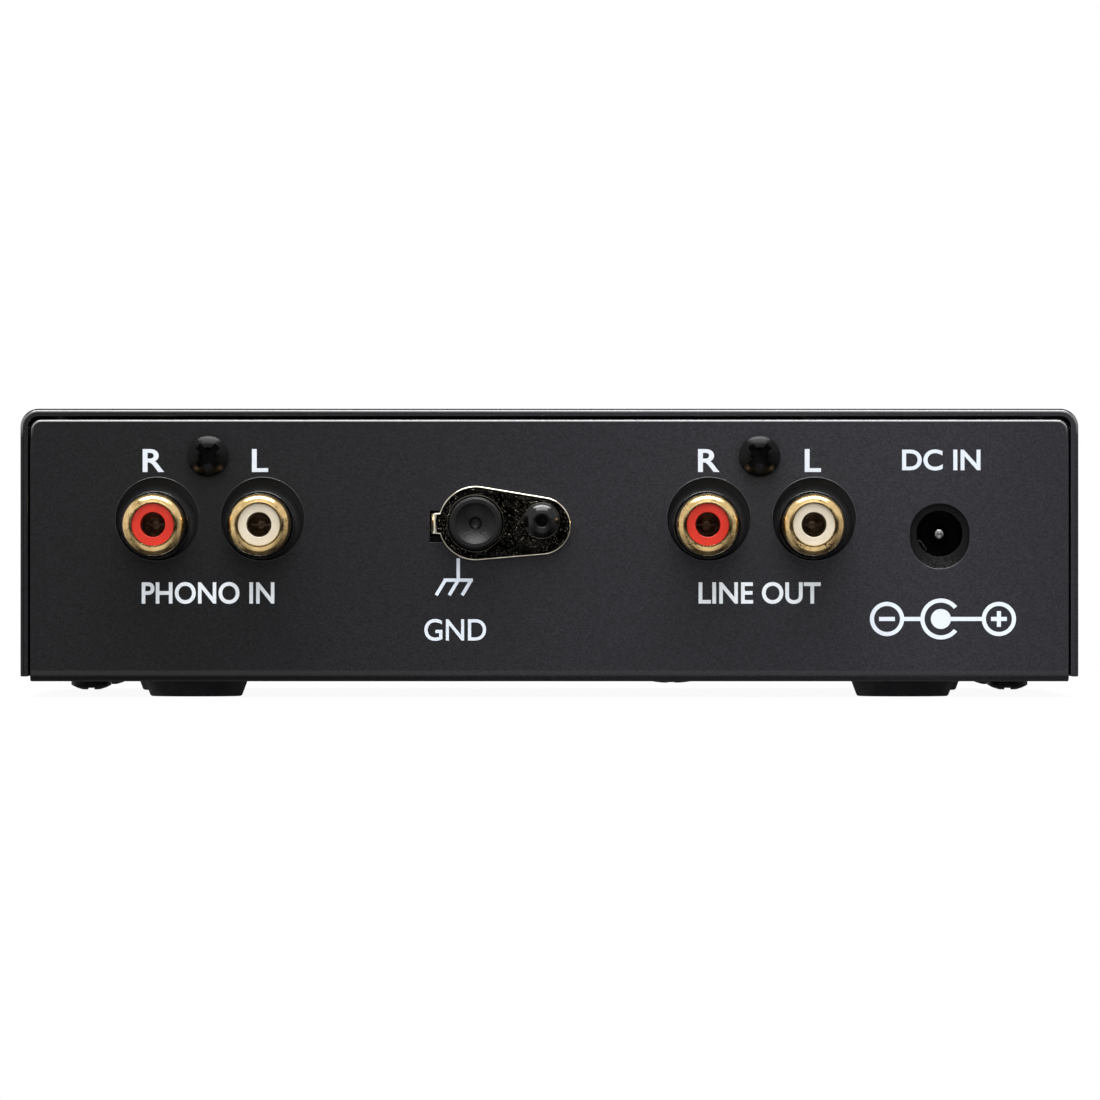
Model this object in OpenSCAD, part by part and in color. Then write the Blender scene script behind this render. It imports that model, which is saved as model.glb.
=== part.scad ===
// Phono preamplifier: a folded steel case with two pairs of phono jacks, a push-button ground
// terminal and a power jack on one side, and a power button with a lamp on the other.
// Millimetres. +Z is up, the connector panel faces -Y and the control panel faces +Y.
// The origin is on the floor, under the middle of the whole object.

/* [Case] */
// Outside width of the cover
case_w = 140.4; // [134:0.2:170]
// Depth between the outer faces of the two panels
case_d = 96; // [90:1:140]
// Height from the tray's underside to the top of the cover
body_h = 36.2; // [35.6:0.2:48]
// Sheet thickness of the cover
cover_t = 1; // [0.6:0.1:1]
// Outside bend radius of the cover
cover_r = 2.4; // [2:0.1:4]
// How far the cover stands past each panel
cover_lip = 0.25; // [0:0.05:1]
// Height of the cover's lower edges above the tray's underside
cover_rise = 0.66; // [0.3:0.02:0.9]
// Sheet thickness of the tray
tray_t = 1; // [0.8:0.1:1.2]
// Outside bend radius of the tray
tray_r = 1.6; // [1.3:0.1:2]
// Gap between the tray and the inside of the cover, at each side
side_gap = 0.25; // [0.1:0.05:0.6]
// Gap between the panels' top edges and the inside of the cover
top_gap = 0.3; // [0.2:0.05:1]
// Radius of the panels' upper corners
panel_r = 1.5; // [0.5:0.1:3]

/* [Cover fixing] */
// Distance of each cover screw from the case's side
cover_screw_in = 8.7; // [8.4:0.1:11]
// Distance of each cover screw from the nearer panel's face
cover_screw_y = 18; // [16:0.5:24]
// Radius of the cover screws' thread
cover_screw_r = 1.5; // [1.2:0.05:1.8]
// Radius of the cover screws' pan heads
cover_head_r = 2.7; // [2.4:0.1:3]
// Height of the cover screws' pan heads
cover_head_h = 1.4; // [1:0.1:1.7]
// Length of each of the cover's tapped tabs
tab_l = 14; // [10:0.5:20]
// Width by which each tab reaches in from the cover's side
tab_w = 14; // [12:0.5:16]
// Outside bend radius of the tabs
tab_r = 1.2; // [1.1:0.1:1.5]
// Width of the relief slot at each end of a tab
relief_w = 0.8; // [0.6:0.1:1.2]
// Height of the relief slots
relief_h = 2.4; // [2:0.1:3]

/* [Feet] */
// Height of the rubber feet
foot_h = 2.1; // [1.9:0.1:6]
// Radius of a foot against the tray
foot_r = 6.9; // [5:0.1:9]
// Radius of a foot against the floor
foot_floor_r = 6.1; // [4:0.1:6.6]
// Distance of the feet under the connector panel from the case's sides
foot_rear_in = 22.9; // [20:0.1:30]
// Distance of the feet under the control panel from the case's sides
foot_front_in = 19.5; // [19:0.5:30]
// Distance of each foot from the nearer panel's face
foot_y = 14.5; // [10:0.5:16]

/* [Circuit board] */
// Distance of the circuit board's edges from the case's sides
board_side = 9; // [6:0.5:9.5]
// Thickness of the circuit board
board_t = 1.6; // [1:0.2:2]
// Gap between the board's edges and the panels
board_gap = 1; // [0.4:0.1:1.5]
// Height of the standoffs under the board
standoff_h = 10.5; // [9.5:0.1:11]
// Width across the flats of the standoffs
standoff_w = 5.5; // [5:0.1:6]
// Distance of the outer standoffs from the board's side edges
standoff_in = 13.5; // [12:0.5:15]
// Distance of the outer standoffs from the nearer panel's face
standoff_y = 30; // [27:0.5:33]
// Place of the middle standoff across the case
middle_standoff_x = 16.4; // [12:0.2:20]
// Distance of the middle standoff from the connector panel's face
middle_standoff_y = 22; // [20:0.5:25]
// Radius of the board screws' thread
board_screw_r = 1.5; // [1.2:0.05:1.6]
// Radius of the board screws' heads
board_head_r = 2.8; // [2.4:0.1:3]
// Height of the pan heads on the board
board_head_h = 1.8; // [1.2:0.1:2.4]
// Height of the low heads under the tray
floor_head_h = 0.45; // [0.3:0.05:1]

/* [Phono jacks] */
// Distance of the middle of the input jacks from the case's left side
input_side = 24.9; // [24:0.1:27]
// Distance of the middle of the output jacks from the case's right side
output_side = 42.3; // [41:0.1:44]
// Distance between the two jacks of a pair
jack_pitch = 14; // [13:0.1:14.4]
// Height of the jacks' axes above the circuit board
jack_rise = 7.7; // [7.2:0.1:8.4]
// Radius of the panel holes for the jacks
jack_hole_r = 5.5; // [5.5:0.05:5.8]
// Height of the panel holes' centres above the jacks' axes
jack_drop = 0.75; // [0:0.05:0.75]
// How far the panel holes' centres lie to the side of the jacks' axes
jack_shift = 0.25; // [0:0.05:0.25]
// How far the gold shells stand out of the panel
jack_out = 10; // [8:0.2:12]
// Outside radius of the gold shells
shell_r = 4.15; // [4.1:0.01:4.2]
// Wall thickness of the gold shells
shell_wall = 0.6; // [0.4:0.05:0.7]
// Inside radius of the rolled lip at the mouth of a shell
lip_r = 2.85; // [2.8:0.05:2.95]
// How far the flange at the foot of each shell stands out around the shell
flange_w = 0.25; // [0.2:0.05:0.35]
// Thickness of that flange
flange_t = 0.25; // [0.2:0.05:0.5]
// How far the insulators lie behind the lips
insulator_recess = 0.25; // [0:0.05:0.6]
// Radius of the bore that takes a plug's pin
pin_bore_r = 1.65; // [1.6:0.01:1.7]
// Depth of that bore in front of the contact
pin_bore_l = 7; // [5:0.1:8]
// Width of the slit between the contact's two leaves
contact_slit = 0.35; // [0.2:0.05:0.6]
// Radius of the collar around each shell
collar_r = 4.65; // [4.5:0.01:4.7]
// How far the collars stand out of the panel
collar_out = 1.6; // [0:0.1:2.5]
// Depth of the jacks' housings behind the panel
block_d = 10; // [8:0.5:12]
// Width of each housing beside the jacks' axes
block_side = 6.2; // [5.9:0.1:6.4]
// Height of each housing above the jacks' axes
block_rise = 6.3; // [6:0.1:6.8]
// Height of the jack screws above the jacks' axes
jack_screw_rise = 9.1; // [8.8:0.1:9.6]
// Radius of the jack screws' thread
jack_screw_r = 1.4; // [1.2:0.05:1.5]
// Length of the jack screws under their heads
jack_screw_l = 8; // [6:0.5:9]
// Radius of the jack screws' pan heads
jack_head_r = 2.75; // [2.4:0.05:3]
// Height of the jack screws' pan heads
jack_head_h = 1.9; // [1.4:0.1:2.2]

/* [Power jack] */
// Distance of the power jack from the case's right side
power_side = 18.4; // [17:0.1:19]
// Height of the power jack's axis above the circuit board
power_rise = 6.5; // [6:0.1:7]
// Width of the panel's hole for the power jack
power_hole_w = 7.9; // [7.6:0.1:8.2]
// Height of the panel's hole for the power jack
power_hole_h = 8.6; // [8.4:0.1:9]
// How far that hole's centre lies below the power jack's axis
power_hole_drop = 0.3; // [0:0.1:0.4]
// Width of the power jack's housing
power_w = 9; // [8.8:0.1:10]
// Height of the power jack's housing
power_h = 10.9; // [10.8:0.1:12]
// Depth of the power jack's housing
power_d = 14.2; // [13:0.1:16]
// Radius of the bore that takes the plug
power_bore_r = 3.05; // [3:0.05:3.2]
// Depth of that bore
power_bore_l = 9.6; // [9:0.1:11]
// Radius of the power jack's centre pin
power_pin_r = 1.05; // [0.9:0.05:1.25]
// How far the centre pin ends behind the housing's face
power_pin_recess = 0.8; // [0.4:0.1:2]

/* [Ground terminal] */
// Place of the terminal's button across the case
ground_x = -9.8; // [-12:0.2:-8]
// Height of the terminal's button above the circuit board
ground_rise = 7.9; // [7.4:0.1:8.4]
// Thickness of the terminal's nickel plate
plate_t = 0.8; // [0.5:0.1:1.2]
// Radius of the plate around the button
plate_big_r = 4.95; // [4.6:0.05:5.4]
// Radius of the plate around the screw
plate_small_r = 3.85; // [3.4:0.05:4.2]
// Distance between the centres of the plate's two ends
plate_l = 8.8; // [8.6:0.1:9.6]
// How far the plate's small end lies below its big end
plate_slope = 0.35; // [0:0.05:0.6]
// Height of the terminal's screw above the centre of the plate's small end
ground_screw_rise = 0.7; // [0:0.05:0.8]
// Radius of the terminal screw's thread
ground_screw_r = 1.25; // [1:0.05:1.3]
// Radius of the terminal screw's domed head
ground_head_r = 2.4; // [2:0.05:2.5]
// Height of the terminal screw's domed head
ground_head_h = 2; // [1.4:0.1:2.4]
// Radius of the terminal's button
ground_button_r = 3.5; // [3:0.05:3.6]
// How far the button stands out of the plate
ground_button_out = 3; // [2.8:0.1:4]
// How far the button can be pushed in
ground_travel = 2; // [1.5:0.1:2.4]
// Radius of the dished face of the button
ground_dish_r = 2.45; // [2:0.05:2.6]
// Depth of the dished face of the button
ground_dish_h = 1.1; // [0.6:0.1:1.4]
// Width of the panel's slot for the wire
slot_w = 1.8; // [1.6:0.1:2]
// Height of the panel's slot for the wire
slot_h = 4.2; // [4.2:0.05:4.6]
// How far the middle of the slot lies below the button's axis
slot_drop = 0.4; // [0:0.05:0.4]
// How far the middle of the plate's tab lies below the button's axis
hook_drop = 0.05; // [0:0.05:0.3]
// Height of the plate's tab that hooks into the slot
hook_h = 2.8; // [2.6:0.05:3.2]
// Thickness of the jaw that holds the wire
jaw_t = 0.8; // [0.6:0.1:1]
// Wire thickness of the return spring
spring_wire = 0.5; // [0.4:0.05:0.6]
// Number of turns of the return spring
spring_turns = 5; // [4:1:6]

/* [Controls] */
// Distance of the power button from the case's right side
button_side = 22; // [18:0.5:26]
// Distance between the power button and the lamp
lamp_pitch = 12; // [10:0.5:18]
// Height of the power button and the lamp above the circuit board
control_rise = 4.6; // [4.4:0.1:5]
// Radius of the power button
button_r = 3.5; // [3:0.1:4]
// How far the power button stands out of the panel
button_out = 2.6; // [2.4:0.1:4]
// How far the power button can be pushed in
button_travel = 2; // [1:0.1:2.2]
// Radius of the lamp
lamp_r = 1.5; // [1.2:0.1:2]
// How far the lamp stands out of the panel
lamp_out = 1.2; // [0.4:0.1:2]

/* [Fits] */
// Radial running clearance of what slides
run = 0.08; // [0.04:0.01:0.1]
// Radial clearance of what is fixed in a hole
fit = 0.05; // [0.02:0.01:0.1]
// Radial clearance of a screw in a hole that it passes
pass = 0.2; // [0.1:0.05:0.3]
// Radial clearance of the buttons in the holes of the panels
button_gap = 0.15; // [0.1:0.05:0.3]

/* [Hidden] */
$fn = 64;

// Amount by which a cut passes the face that it opens
over = 0.5;
// Size of the bevel on small moulded parts
soft = 0.3;

// Planes along Y
rear_y = (jack_out - case_d - button_out) / 2;
front_y = rear_y + case_d;
rear_in = rear_y + tray_t;
front_in = front_y - tray_t;

// Planes along Z
floor_z = foot_h + tray_t;
top_z = foot_h + body_h;
panel_top = top_z - cover_t - top_gap;
board_bottom = floor_z + standoff_h;
board_z = board_bottom + board_t;
jack_z = board_z + jack_rise;
jack_screw_z = jack_z + jack_screw_rise;
power_z = board_z + power_rise;
ground_z = board_z + ground_rise;
control_z = board_z + control_rise;

// Widths, and places across the case
tray_w = case_w - 2 * (cover_t + side_gap);
wall_in = case_w / 2 - cover_t;
board_w = case_w - 2 * board_side;
cover_screw_x = case_w / 2 - cover_screw_in;
standoff_x = board_w / 2 - standoff_in;
input_x = input_side - case_w / 2;
output_x = case_w / 2 - output_side;
power_x = case_w / 2 - power_side;
button_x = case_w / 2 - button_side;
lamp_x = button_x - lamp_pitch;

// Board edges
board_y0 = rear_in + board_gap;
board_y1 = front_in - board_gap;

// Screws: the recess in a head takes shares of its radius and height, and a tip is a share as wide
cross_w = 0.9;
cross_span = 1.36;
cross_sink = 0.6;
well_top = 0.46;
well_low = 0.25;
head_edge = 0.45;
jack_screw_turn = 45;
screw_tip = 0.5;
tip_share = 0.7;
cover_screw_past = 1;
burr_h = 1.4;
burr_wall = 1;
board_screw_reach = 4.5;
floor_screw_reach = 4;

// Jacks
hole_x = jack_shift;
hole_z = jack_z + jack_drop;
lip_round = shell_r - lip_r;
shell_in = shell_r - shell_wall;
shell_reach = 4;
shell_step = 0.2;
seat_r = shell_r - shell_step;
cavity_r = 2.15;
contact_r = cavity_r - fit;
contact_mouth_r = pin_bore_r + fit;
contact_end_r = 0.5;
contact_taper = 6;
tail_w = 1;
tail_t = 0.6;
tail_past = 1;
block_rear = rear_in + block_d;
block_top = jack_z + block_rise;
ear_r = 4.3;
pocket_h = 0.8;
pocket_r = jack_hole_r + norm([jack_shift, jack_drop]);
// Each collar widens behind the panel in fine steps, each a slope and a small fall
collar_draft = 0.15;
collar_round = 0.25;
skirt_w = 0.7;
skirt_steps = 3;
skirt_slope = 0.1;
skirt_fall = 0.07;
skirt_gap = 0.1;

// Power jack
power_top = board_z + power_h;
leaf_t = 0.35;
leaf_w = 1.6;
leaf_bulge = 0.5;
leaf_front = 1.2;
leaf_end = 0.2;
leaf_angle = 235;
pin_step = 0.2;
power_shank_r = power_pin_r - pin_step;

// Ground terminal
plate_small_x = ground_x + plate_l;
plate_small_z = ground_z - plate_slope;
ground_screw_x = plate_small_x;
ground_screw_z = plate_small_z + ground_screw_rise;
hook_reach = 0.95;
hook_x = ground_x - plate_big_r - hook_reach;
slot_side = 0.15;
slot_x = hook_x - slot_side;
slot_z = ground_z - slot_drop;
hook_z = ground_z - hook_drop;
hook_past = 0.9;
screw_dimple_r = 0.95;
screw_dimple_h = 0.7;
stem_r = 1.5;
stem_past = 0.6;
jaw_lap = 0.8;
jaw_r = ground_button_r + jaw_lap;
jaw_gap = 0.1;
jaw_front = rear_in + jaw_gap;
jaw_back = jaw_front + jaw_t;
jaw_reach = 1.8;
jaw_past = 0.7;
spring_slack = 3.3;
spring_flat = spring_wire * (spring_turns + 1);
chamber_h = jaw_gap + jaw_t + ground_travel + spring_flat + spring_slack;
chamber_r = jaw_r + jaw_past;
housing_wall = 1.2;
housing_rear = rear_in + chamber_h + housing_wall;
ear_t = 2;
nut_t = 2;
nut_w = 5;
strap_t = 0.5;
strap_w = 3;
strap_foot = 3;
strap_r = plate_small_r - 0.8;
housing_right = ground_screw_x - strap_r - 0.1;
spring_r = 2.5;
spring_gap = 0.02;
dish_draft = 0.15;
dish_step = 0.4;
dish_arcs = 8;
dimple_r = 0.95;
dimple_rise = 0.45;

// Controls
switch_w = 8.5;
switch_h = 8.8;
switch_l = 12;
switch_gap = 4.2;
switch_front = front_in - switch_gap;
plunger_w = 3.2;
plunger_in = 4;
plunger_room = button_travel + 1;
cap_in = 1.5;
cap_back = front_in - cap_in;
cap_socket = 1.5;
cap_rim = 1.4;
lamp_d = 4;
lamp_wall = 0.8;
lamp_back = front_in - lamp_d;
leg_w = 0.5;
leg_gap = 2.54;
leg_back = 1;

// Components on the board
chip_l = 9.4;
chip_w = 6.4;
chip_h = 3.3;
chip_rise = 0.5;
notch_r = 0.9;
notch_h = 0.6;
small_can_r = 3.15;
small_can_h = 10.5;
large_can_r = 5;
large_can_h = 14;
can_top_h = 0.3;
can_sleeve = 0.6;
film_l = 7.2;
film_w = 2.6;
film_h = 6.5;
resistor_r = 1.2;
resistor_l = 6.2;
resistor_rise = 1.3;
lead_reach = 1.5;
regulator_t = 3.2;
regulator_h = 9;
regulator_rise = 2;
tab_plate_w = 10;
tab_plate_t = 1.3;
tab_plate_h = 13.5;
tab_hole_r = 1.8;
tab_hole_drop = 2.8;

// Places on the board
standoff_places = [
    [-standoff_x, rear_y + standoff_y],
    [standoff_x, rear_y + standoff_y],
    [-standoff_x, front_y - standoff_y],
    [standoff_x, front_y - standoff_y],
    [middle_standoff_x, rear_y + middle_standoff_y]
];
cover_screw_places = [
    for (side = [-1, 1])
        for (y = [rear_y + cover_screw_y, front_y - cover_screw_y])
            [side * cover_screw_x, y]
];
// Rows of components, as distances from the board's edge at the connector panel
film_row = 28;
regulator_row = 30;
chip_row = 42;
can_row = 58;
resistor_row = 70;
// Columns, as distances from the left or the right standoffs
film_from = 7.5;
chip_from = 19.5;
chip_pitch = 32;
small_can_from = 15.5;
small_can_pitch = 14;
resistor_from = 11.5;
resistor_pitch = 9;
large_can_from = 1.5;
large_can_pitch = 14;
regulator_from = 23.5;
regulator_x = standoff_x - regulator_from;
// Room between the last film capacitor's middle and the regulator's
film_to = 16;
film_gaps = 3;
film_pitch = (regulator_x - film_to + standoff_x - film_from) / film_gaps;
film_places = [for (i = [0:film_gaps]) [film_from - standoff_x + film_pitch * i, board_y0 + film_row]];
amplifier_places = [for (i = [0:1]) [chip_from - standoff_x + chip_pitch * i, board_y0 + chip_row]];
small_can_places = [
    for (i = [0:3]) [small_can_from - standoff_x + small_can_pitch * i, board_y0 + can_row]
];
large_can_places = [
    for (i = [0:1]) [standoff_x - large_can_from - large_can_pitch * i, board_y0 + chip_row]
];
resistor_places = [
    for (i = [0:5]) [resistor_from - standoff_x + resistor_pitch * i, board_y0 + resistor_row]
];
regulator_place = [regulator_x, board_y0 + regulator_row];

// Where tails and legs pass through the board
pin_places = concat(
    [for (x = jack_axes()) [x, rear_y + shell_reach - tail_t / 2]],
    [for (x = jack_axes()) [x, block_rear + fit + tail_t / 2]],
    [[power_x, rear_in + power_d + fit + tail_t / 2]],
    [for (side = [-1, 1]) [lamp_x + side * leg_gap / 2, lamp_back - leg_back]]
);
pin_hole_r = norm([tail_w, tail_t]) / 2 + pass;

function jack_axes() = [
    input_x - jack_pitch / 2, input_x + jack_pitch / 2,
    output_x - jack_pitch / 2, output_x + jack_pitch / 2
];

// ---- Helpers ----

// Extrudes an outline in X and Z along Y
module along_y(y0, y1) {
    translate([0, y1, 0]) rotate([90, 0, 0]) linear_extrude(y1 - y0) children();
}

// Extrudes an outline in Y and Z along X
module along_x(x0, x1) {
    translate([x0, 0, 0]) rotate([90, 0, 90]) linear_extrude(x1 - x0) children();
}

// Turns an outline of radius and reach about an axis that points out of the connector panel
module turned(x, z, y = rear_y) {
    translate([x, y, z]) rotate([90, 0, 0]) rotate_extrude() children();
}

// Turns an outline of radius and reach about an axis that points out of the control panel
module turned_front(x, z, y = front_y) {
    translate([x, y, z]) rotate([-90, 0, 0]) rotate_extrude() children();
}

module rod_y(x, z, y0, y1, r) {
    translate([x, y1, z]) rotate([90, 0, 0]) cylinder(r = r, h = y1 - y0);
}

// A cone along Y with radius r0 at y0 and r1 at y1
module cone_y(x, z, y0, y1, r0, r1) {
    translate([x, y1, z]) rotate([90, 0, 0]) cylinder(r1 = r1, r2 = r0, h = y1 - y0);
}

module rod_z(x, y, z0, z1, r) {
    translate([x, y, z0]) cylinder(r = r, h = z1 - z0);
}

// A box given by its two opposite corners
module box(low, high) {
    translate(low) cube(high - low);
}

// A rectangle from x0 to x1 and y0 to y1 whose lower corners have radius r
module round_foot(x0, x1, y0, y1, r) {
    translate([x0, y0 + r]) square([x1 - x0, y1 - y0 - r]);
    translate([x0 + r, y0]) square([x1 - x0 - 2 * r, y1 - y0]);
    for (x = [x0 + r, x1 - r]) translate([x, y0 + r]) circle(r = r);
}

// The same with rounded upper corners
module round_head(x0, x1, y0, y1, r) {
    translate([0, y0 + y1]) mirror([0, 1]) round_foot(x0, x1, y0, y1, r);
}

// A domed screw head of radius r and height h on the plane Z = 0, whose edge starts upright
module pan_head(r, h) {
    edge = h * head_edge;
    rise = h - edge;
    dome = (r * r + rise * rise) / (2 * rise);
    intersection() {
        cylinder(r = r, h = h);
        translate([0, 0, h - dome]) sphere(r = dome, $fn = 96);
    }
}

// A cross recess with a tapered well, cut into a head of radius r and height h
module cross_recess(r, h) {
    span = r * cross_span;
    depth = h * cross_sink;
    for (turn = [0, 90])
        rotate([0, 0, turn])
            translate([-span / 2, -cross_w / 2, h - depth]) cube([span, cross_w, depth + over]);
    translate([0, 0, h - depth])
        cylinder(r1 = r * well_low, r2 = r * well_top, h = depth, $fn = 32);
}

// A pan-head screw whose head stands on Z = 0 and whose thread goes down
module pan_screw(thread_r, length, head_r, head_h) {
    difference() {
        pan_head(head_r, head_h);
        cross_recess(head_r, head_h);
    }
    translate([0, 0, screw_tip - length]) cylinder(r = thread_r, h = length - screw_tip);
    translate([0, 0, -length]) cylinder(r1 = thread_r * tip_share, r2 = thread_r, h = screw_tip);
}

// ---- Case ----

// The tray's sheet seen from the side
module tray_profile() {
    difference() {
        round_foot(rear_y, front_y, foot_h, panel_top, tray_r);
        round_foot(rear_in, front_in, floor_z, panel_top + over, tray_r - tray_t);
    }
}

module oblong_cut(x, z, w, h) {
    rise = (h - w) / 2;
    for (side = [-1, 1]) rod_y(x, z + side * rise, rear_y - over, rear_in + over, w / 2);
    box([x - w / 2, rear_y - over, z - rise], [x + w / 2, rear_in + over, z + rise]);
}

module rear_cuts() {
    for (x = jack_axes())
        rod_y(x + hole_x, hole_z, rear_y - over, rear_in + over, jack_hole_r);
    for (x = [input_x, output_x])
        rod_y(x, jack_screw_z, rear_y - over, rear_in + over, jack_screw_r + pass);
    oblong_cut(power_x, power_z - power_hole_drop, power_hole_w, power_hole_h);
    rod_y(ground_x, ground_z, rear_y - over, rear_in + over, ground_button_r + button_gap);
    rod_y(ground_screw_x, ground_screw_z, rear_y - over, rear_in + over, ground_screw_r + pass);
    box(
        [slot_x, rear_y - over, slot_z - slot_h / 2],
        [slot_x + slot_w, rear_in + over, slot_z + slot_h / 2]
    );
}

module front_cuts() {
    rod_y(button_x, control_z, front_in - over, front_y + over, button_r + button_gap);
    rod_y(lamp_x, control_z, front_in - over, front_y + over, lamp_r + fit);
}

module tray() {
    color("#2b2c2f")
    difference() {
        intersection() {
            along_x(-tray_w / 2, tray_w / 2) tray_profile();
            along_y(rear_y - over, front_y + over)
                round_head(-tray_w / 2, tray_w / 2, foot_h - over, panel_top, panel_r);
        }
        rear_cuts();
        front_cuts();
        for (p = cover_screw_places)
            rod_z(p[0], p[1], foot_h - over, floor_z + over, cover_screw_r + pass);
        for (p = standoff_places)
            rod_z(p[0], p[1], foot_h - over, floor_z + over, board_screw_r + pass);
    }
}

module cover() {
    edge_z = foot_h + cover_rise;
    color("#2b2c2f")
    difference() {
        union() {
            difference() {
                along_y(rear_y - cover_lip, front_y + cover_lip)
                    difference() {
                        round_head(-case_w / 2, case_w / 2, edge_z, top_z, cover_r);
                        round_head(-wall_in, wall_in, edge_z - over, top_z - cover_t,
                            cover_r - cover_t);
                    }
                for (p = cover_screw_places)
                    box(
                        [min(sign(p[0]) * wall_in, p[0]) - tab_w, p[1] - tab_l / 2 - relief_w,
                            edge_z - over],
                        [max(sign(p[0]) * wall_in, p[0]) + tab_w, p[1] + tab_l / 2 + relief_w,
                            floor_z + relief_h]
                    );
            }
            for (p = cover_screw_places) {
                translate([0, p[1], 0])
                    on_side(sign(p[0]))
                        along_y(-tab_l / 2, tab_l / 2) tab_sheet();
                rod_z(p[0], p[1], floor_z + cover_t, floor_z + cover_t + burr_h,
                    cover_screw_r + burr_wall);
            }
        }
        for (p = cover_screw_places)
            rod_z(p[0], p[1], floor_z - over, floor_z + cover_t + burr_h + over,
                cover_screw_r + fit);
    }
}

// Mirrors what stands on the +X side when side is -1
module on_side(side) {
    if (side < 0) mirror([1, 0, 0]) children();
    else children();
}

// The tab's sheet: an upright leg under the cover's side, a bend and a level leg
module tab_sheet() {
    bend_x = case_w / 2 - tab_r;
    bend_z = floor_z + tab_r;
    translate([wall_in, bend_z]) square([cover_t, floor_z + relief_h - bend_z]);
    translate([case_w / 2 - cover_t - tab_w, floor_z])
        square([bend_x - (case_w / 2 - cover_t - tab_w), cover_t]);
    intersection() {
        translate([bend_x, bend_z]) difference() {
            circle(r = tab_r);
            circle(r = tab_r - cover_t);
        }
        translate([bend_x, floor_z]) square(tab_r);
    }
}

module foot(x, y) {
    color("#14171c")
    translate([x, y, 0]) cylinder(r1 = foot_floor_r, r2 = foot_r, h = foot_h);
}

module foot_rear_left() foot(foot_rear_in - case_w / 2, rear_y + foot_y);
module foot_rear_right() foot(case_w / 2 - foot_rear_in, rear_y + foot_y);
module foot_front_left() foot(foot_front_in - case_w / 2, front_y - foot_y);
module foot_front_right() foot(case_w / 2 - foot_front_in, front_y - foot_y);

module cover_screws() {
    length = tray_t + cover_t + burr_h + cover_screw_past;
    color("#1b1b1d")
    for (p = cover_screw_places)
        translate([p[0], p[1], foot_h]) mirror([0, 0, 1])
            pan_screw(cover_screw_r, length, cover_head_r, cover_head_h);
}

// ---- Circuit board and what carries it ----

module standoffs() {
    color("#b8963f")
    for (p = standoff_places)
        difference() {
            translate([p[0], p[1], floor_z])
                cylinder(r = standoff_w / sqrt(3), h = standoff_h, $fn = 6);
            rod_z(p[0], p[1], floor_z - over, board_bottom + over, board_screw_r + fit);
        }
}

module floor_screws() {
    color("#1b1b1d")
    for (p = standoff_places)
        translate([p[0], p[1], foot_h]) mirror([0, 0, 1])
            pan_screw(board_screw_r, tray_t + floor_screw_reach, board_head_r, floor_head_h);
}

module board_screws() {
    color("#c3c5c8")
    for (p = standoff_places)
        translate([p[0], p[1], board_z])
            pan_screw(board_screw_r, board_t + board_screw_reach, board_head_r, board_head_h);
}

module circuit_board() {
    color("#1f5a35")
    difference() {
        box([-board_w / 2, board_y0, board_bottom], [board_w / 2, board_y1, board_z]);
        for (p = standoff_places)
            rod_z(p[0], p[1], board_bottom - over, board_z + over, board_screw_r + pass);
        for (p = pin_places)
            rod_z(p[0], p[1], board_bottom - over, board_z + over, pin_hole_r);
    }
}

// ---- Phono jacks ----

// The stepped skirt of a collar, as radius and reach out of the panel's inner face
module skirt_outline() {
    run = skirt_w / skirt_steps;
    step = skirt_slope + skirt_fall;
    polygon(concat(
        [[0, over], [collar_r, over]],
        [for (i = [0:skirt_steps - 1]) each [
            [collar_r + run * i, -skirt_gap - step * i],
            [collar_r + run * (i + 1), -skirt_gap - step * i - skirt_slope]
        ]],
        [[collar_r + skirt_w, -pocket_h - over], [0, -pocket_h - over]]
    ));
}

// A collar with its rounded rim, as radius and reach out of the panel
module collar_outline() {
    rim_r = collar_r - collar_draft - collar_round;
    hull() {
        translate([0, -tray_t - over]) square([collar_r, over]);
        translate([0, collar_out - over]) square([rim_r, over]);
        translate([rim_r, collar_out - collar_round]) circle(r = collar_round);
    }
}

// The moulded housing of a pair of jacks, with a collar through each panel hole
module jack_block(x) {
    reach = jack_pitch / 2 + block_side;
    color("#141416")
    difference() {
        union() {
            box([x - reach, rear_in, board_z], [x + reach, block_rear, block_top]);
            box([x - ear_r, rear_in, block_top - over], [x + ear_r, block_rear, jack_screw_z]);
            rod_y(x, jack_screw_z, rear_in, block_rear, ear_r);
            for (side = [-1, 1])
                turned(x + side * jack_pitch / 2, jack_z) collar_outline();
        }
        for (side = [-1, 1])
            difference() {
                rod_y(x + side * jack_pitch / 2, jack_z, rear_in - over,
                    rear_in + pocket_h, pocket_r);
                turned(x + side * jack_pitch / 2, jack_z, rear_in) skirt_outline();
            }
        for (side = [-1, 1]) {
            axis_x = x + side * jack_pitch / 2;
            rod_y(axis_x, jack_z, rear_y - collar_out - over, rear_y + shell_reach + fit,
                seat_r + fit);
            rod_y(axis_x, jack_z, rear_y, block_rear + over, shell_in);
            box(
                [axis_x - tail_w / 2 - fit, rear_y + shell_reach - tail_t - fit, board_z - over],
                [axis_x + tail_w / 2 + fit, rear_y + shell_reach + fit, jack_z]
            );
        }
        rod_y(x, jack_screw_z, rear_in - over, rear_in + jack_screw_l, jack_screw_r + fit);
    }
}

module input_block() jack_block(input_x);
module output_block() jack_block(output_x);

module jack_screws() {
    color("#1b1b1d")
    for (x = [input_x, output_x])
        translate([x, rear_y, jack_screw_z]) rotate([90, jack_screw_turn, 0])
            pan_screw(jack_screw_r, jack_screw_l, jack_head_r, jack_head_h);
}

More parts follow.
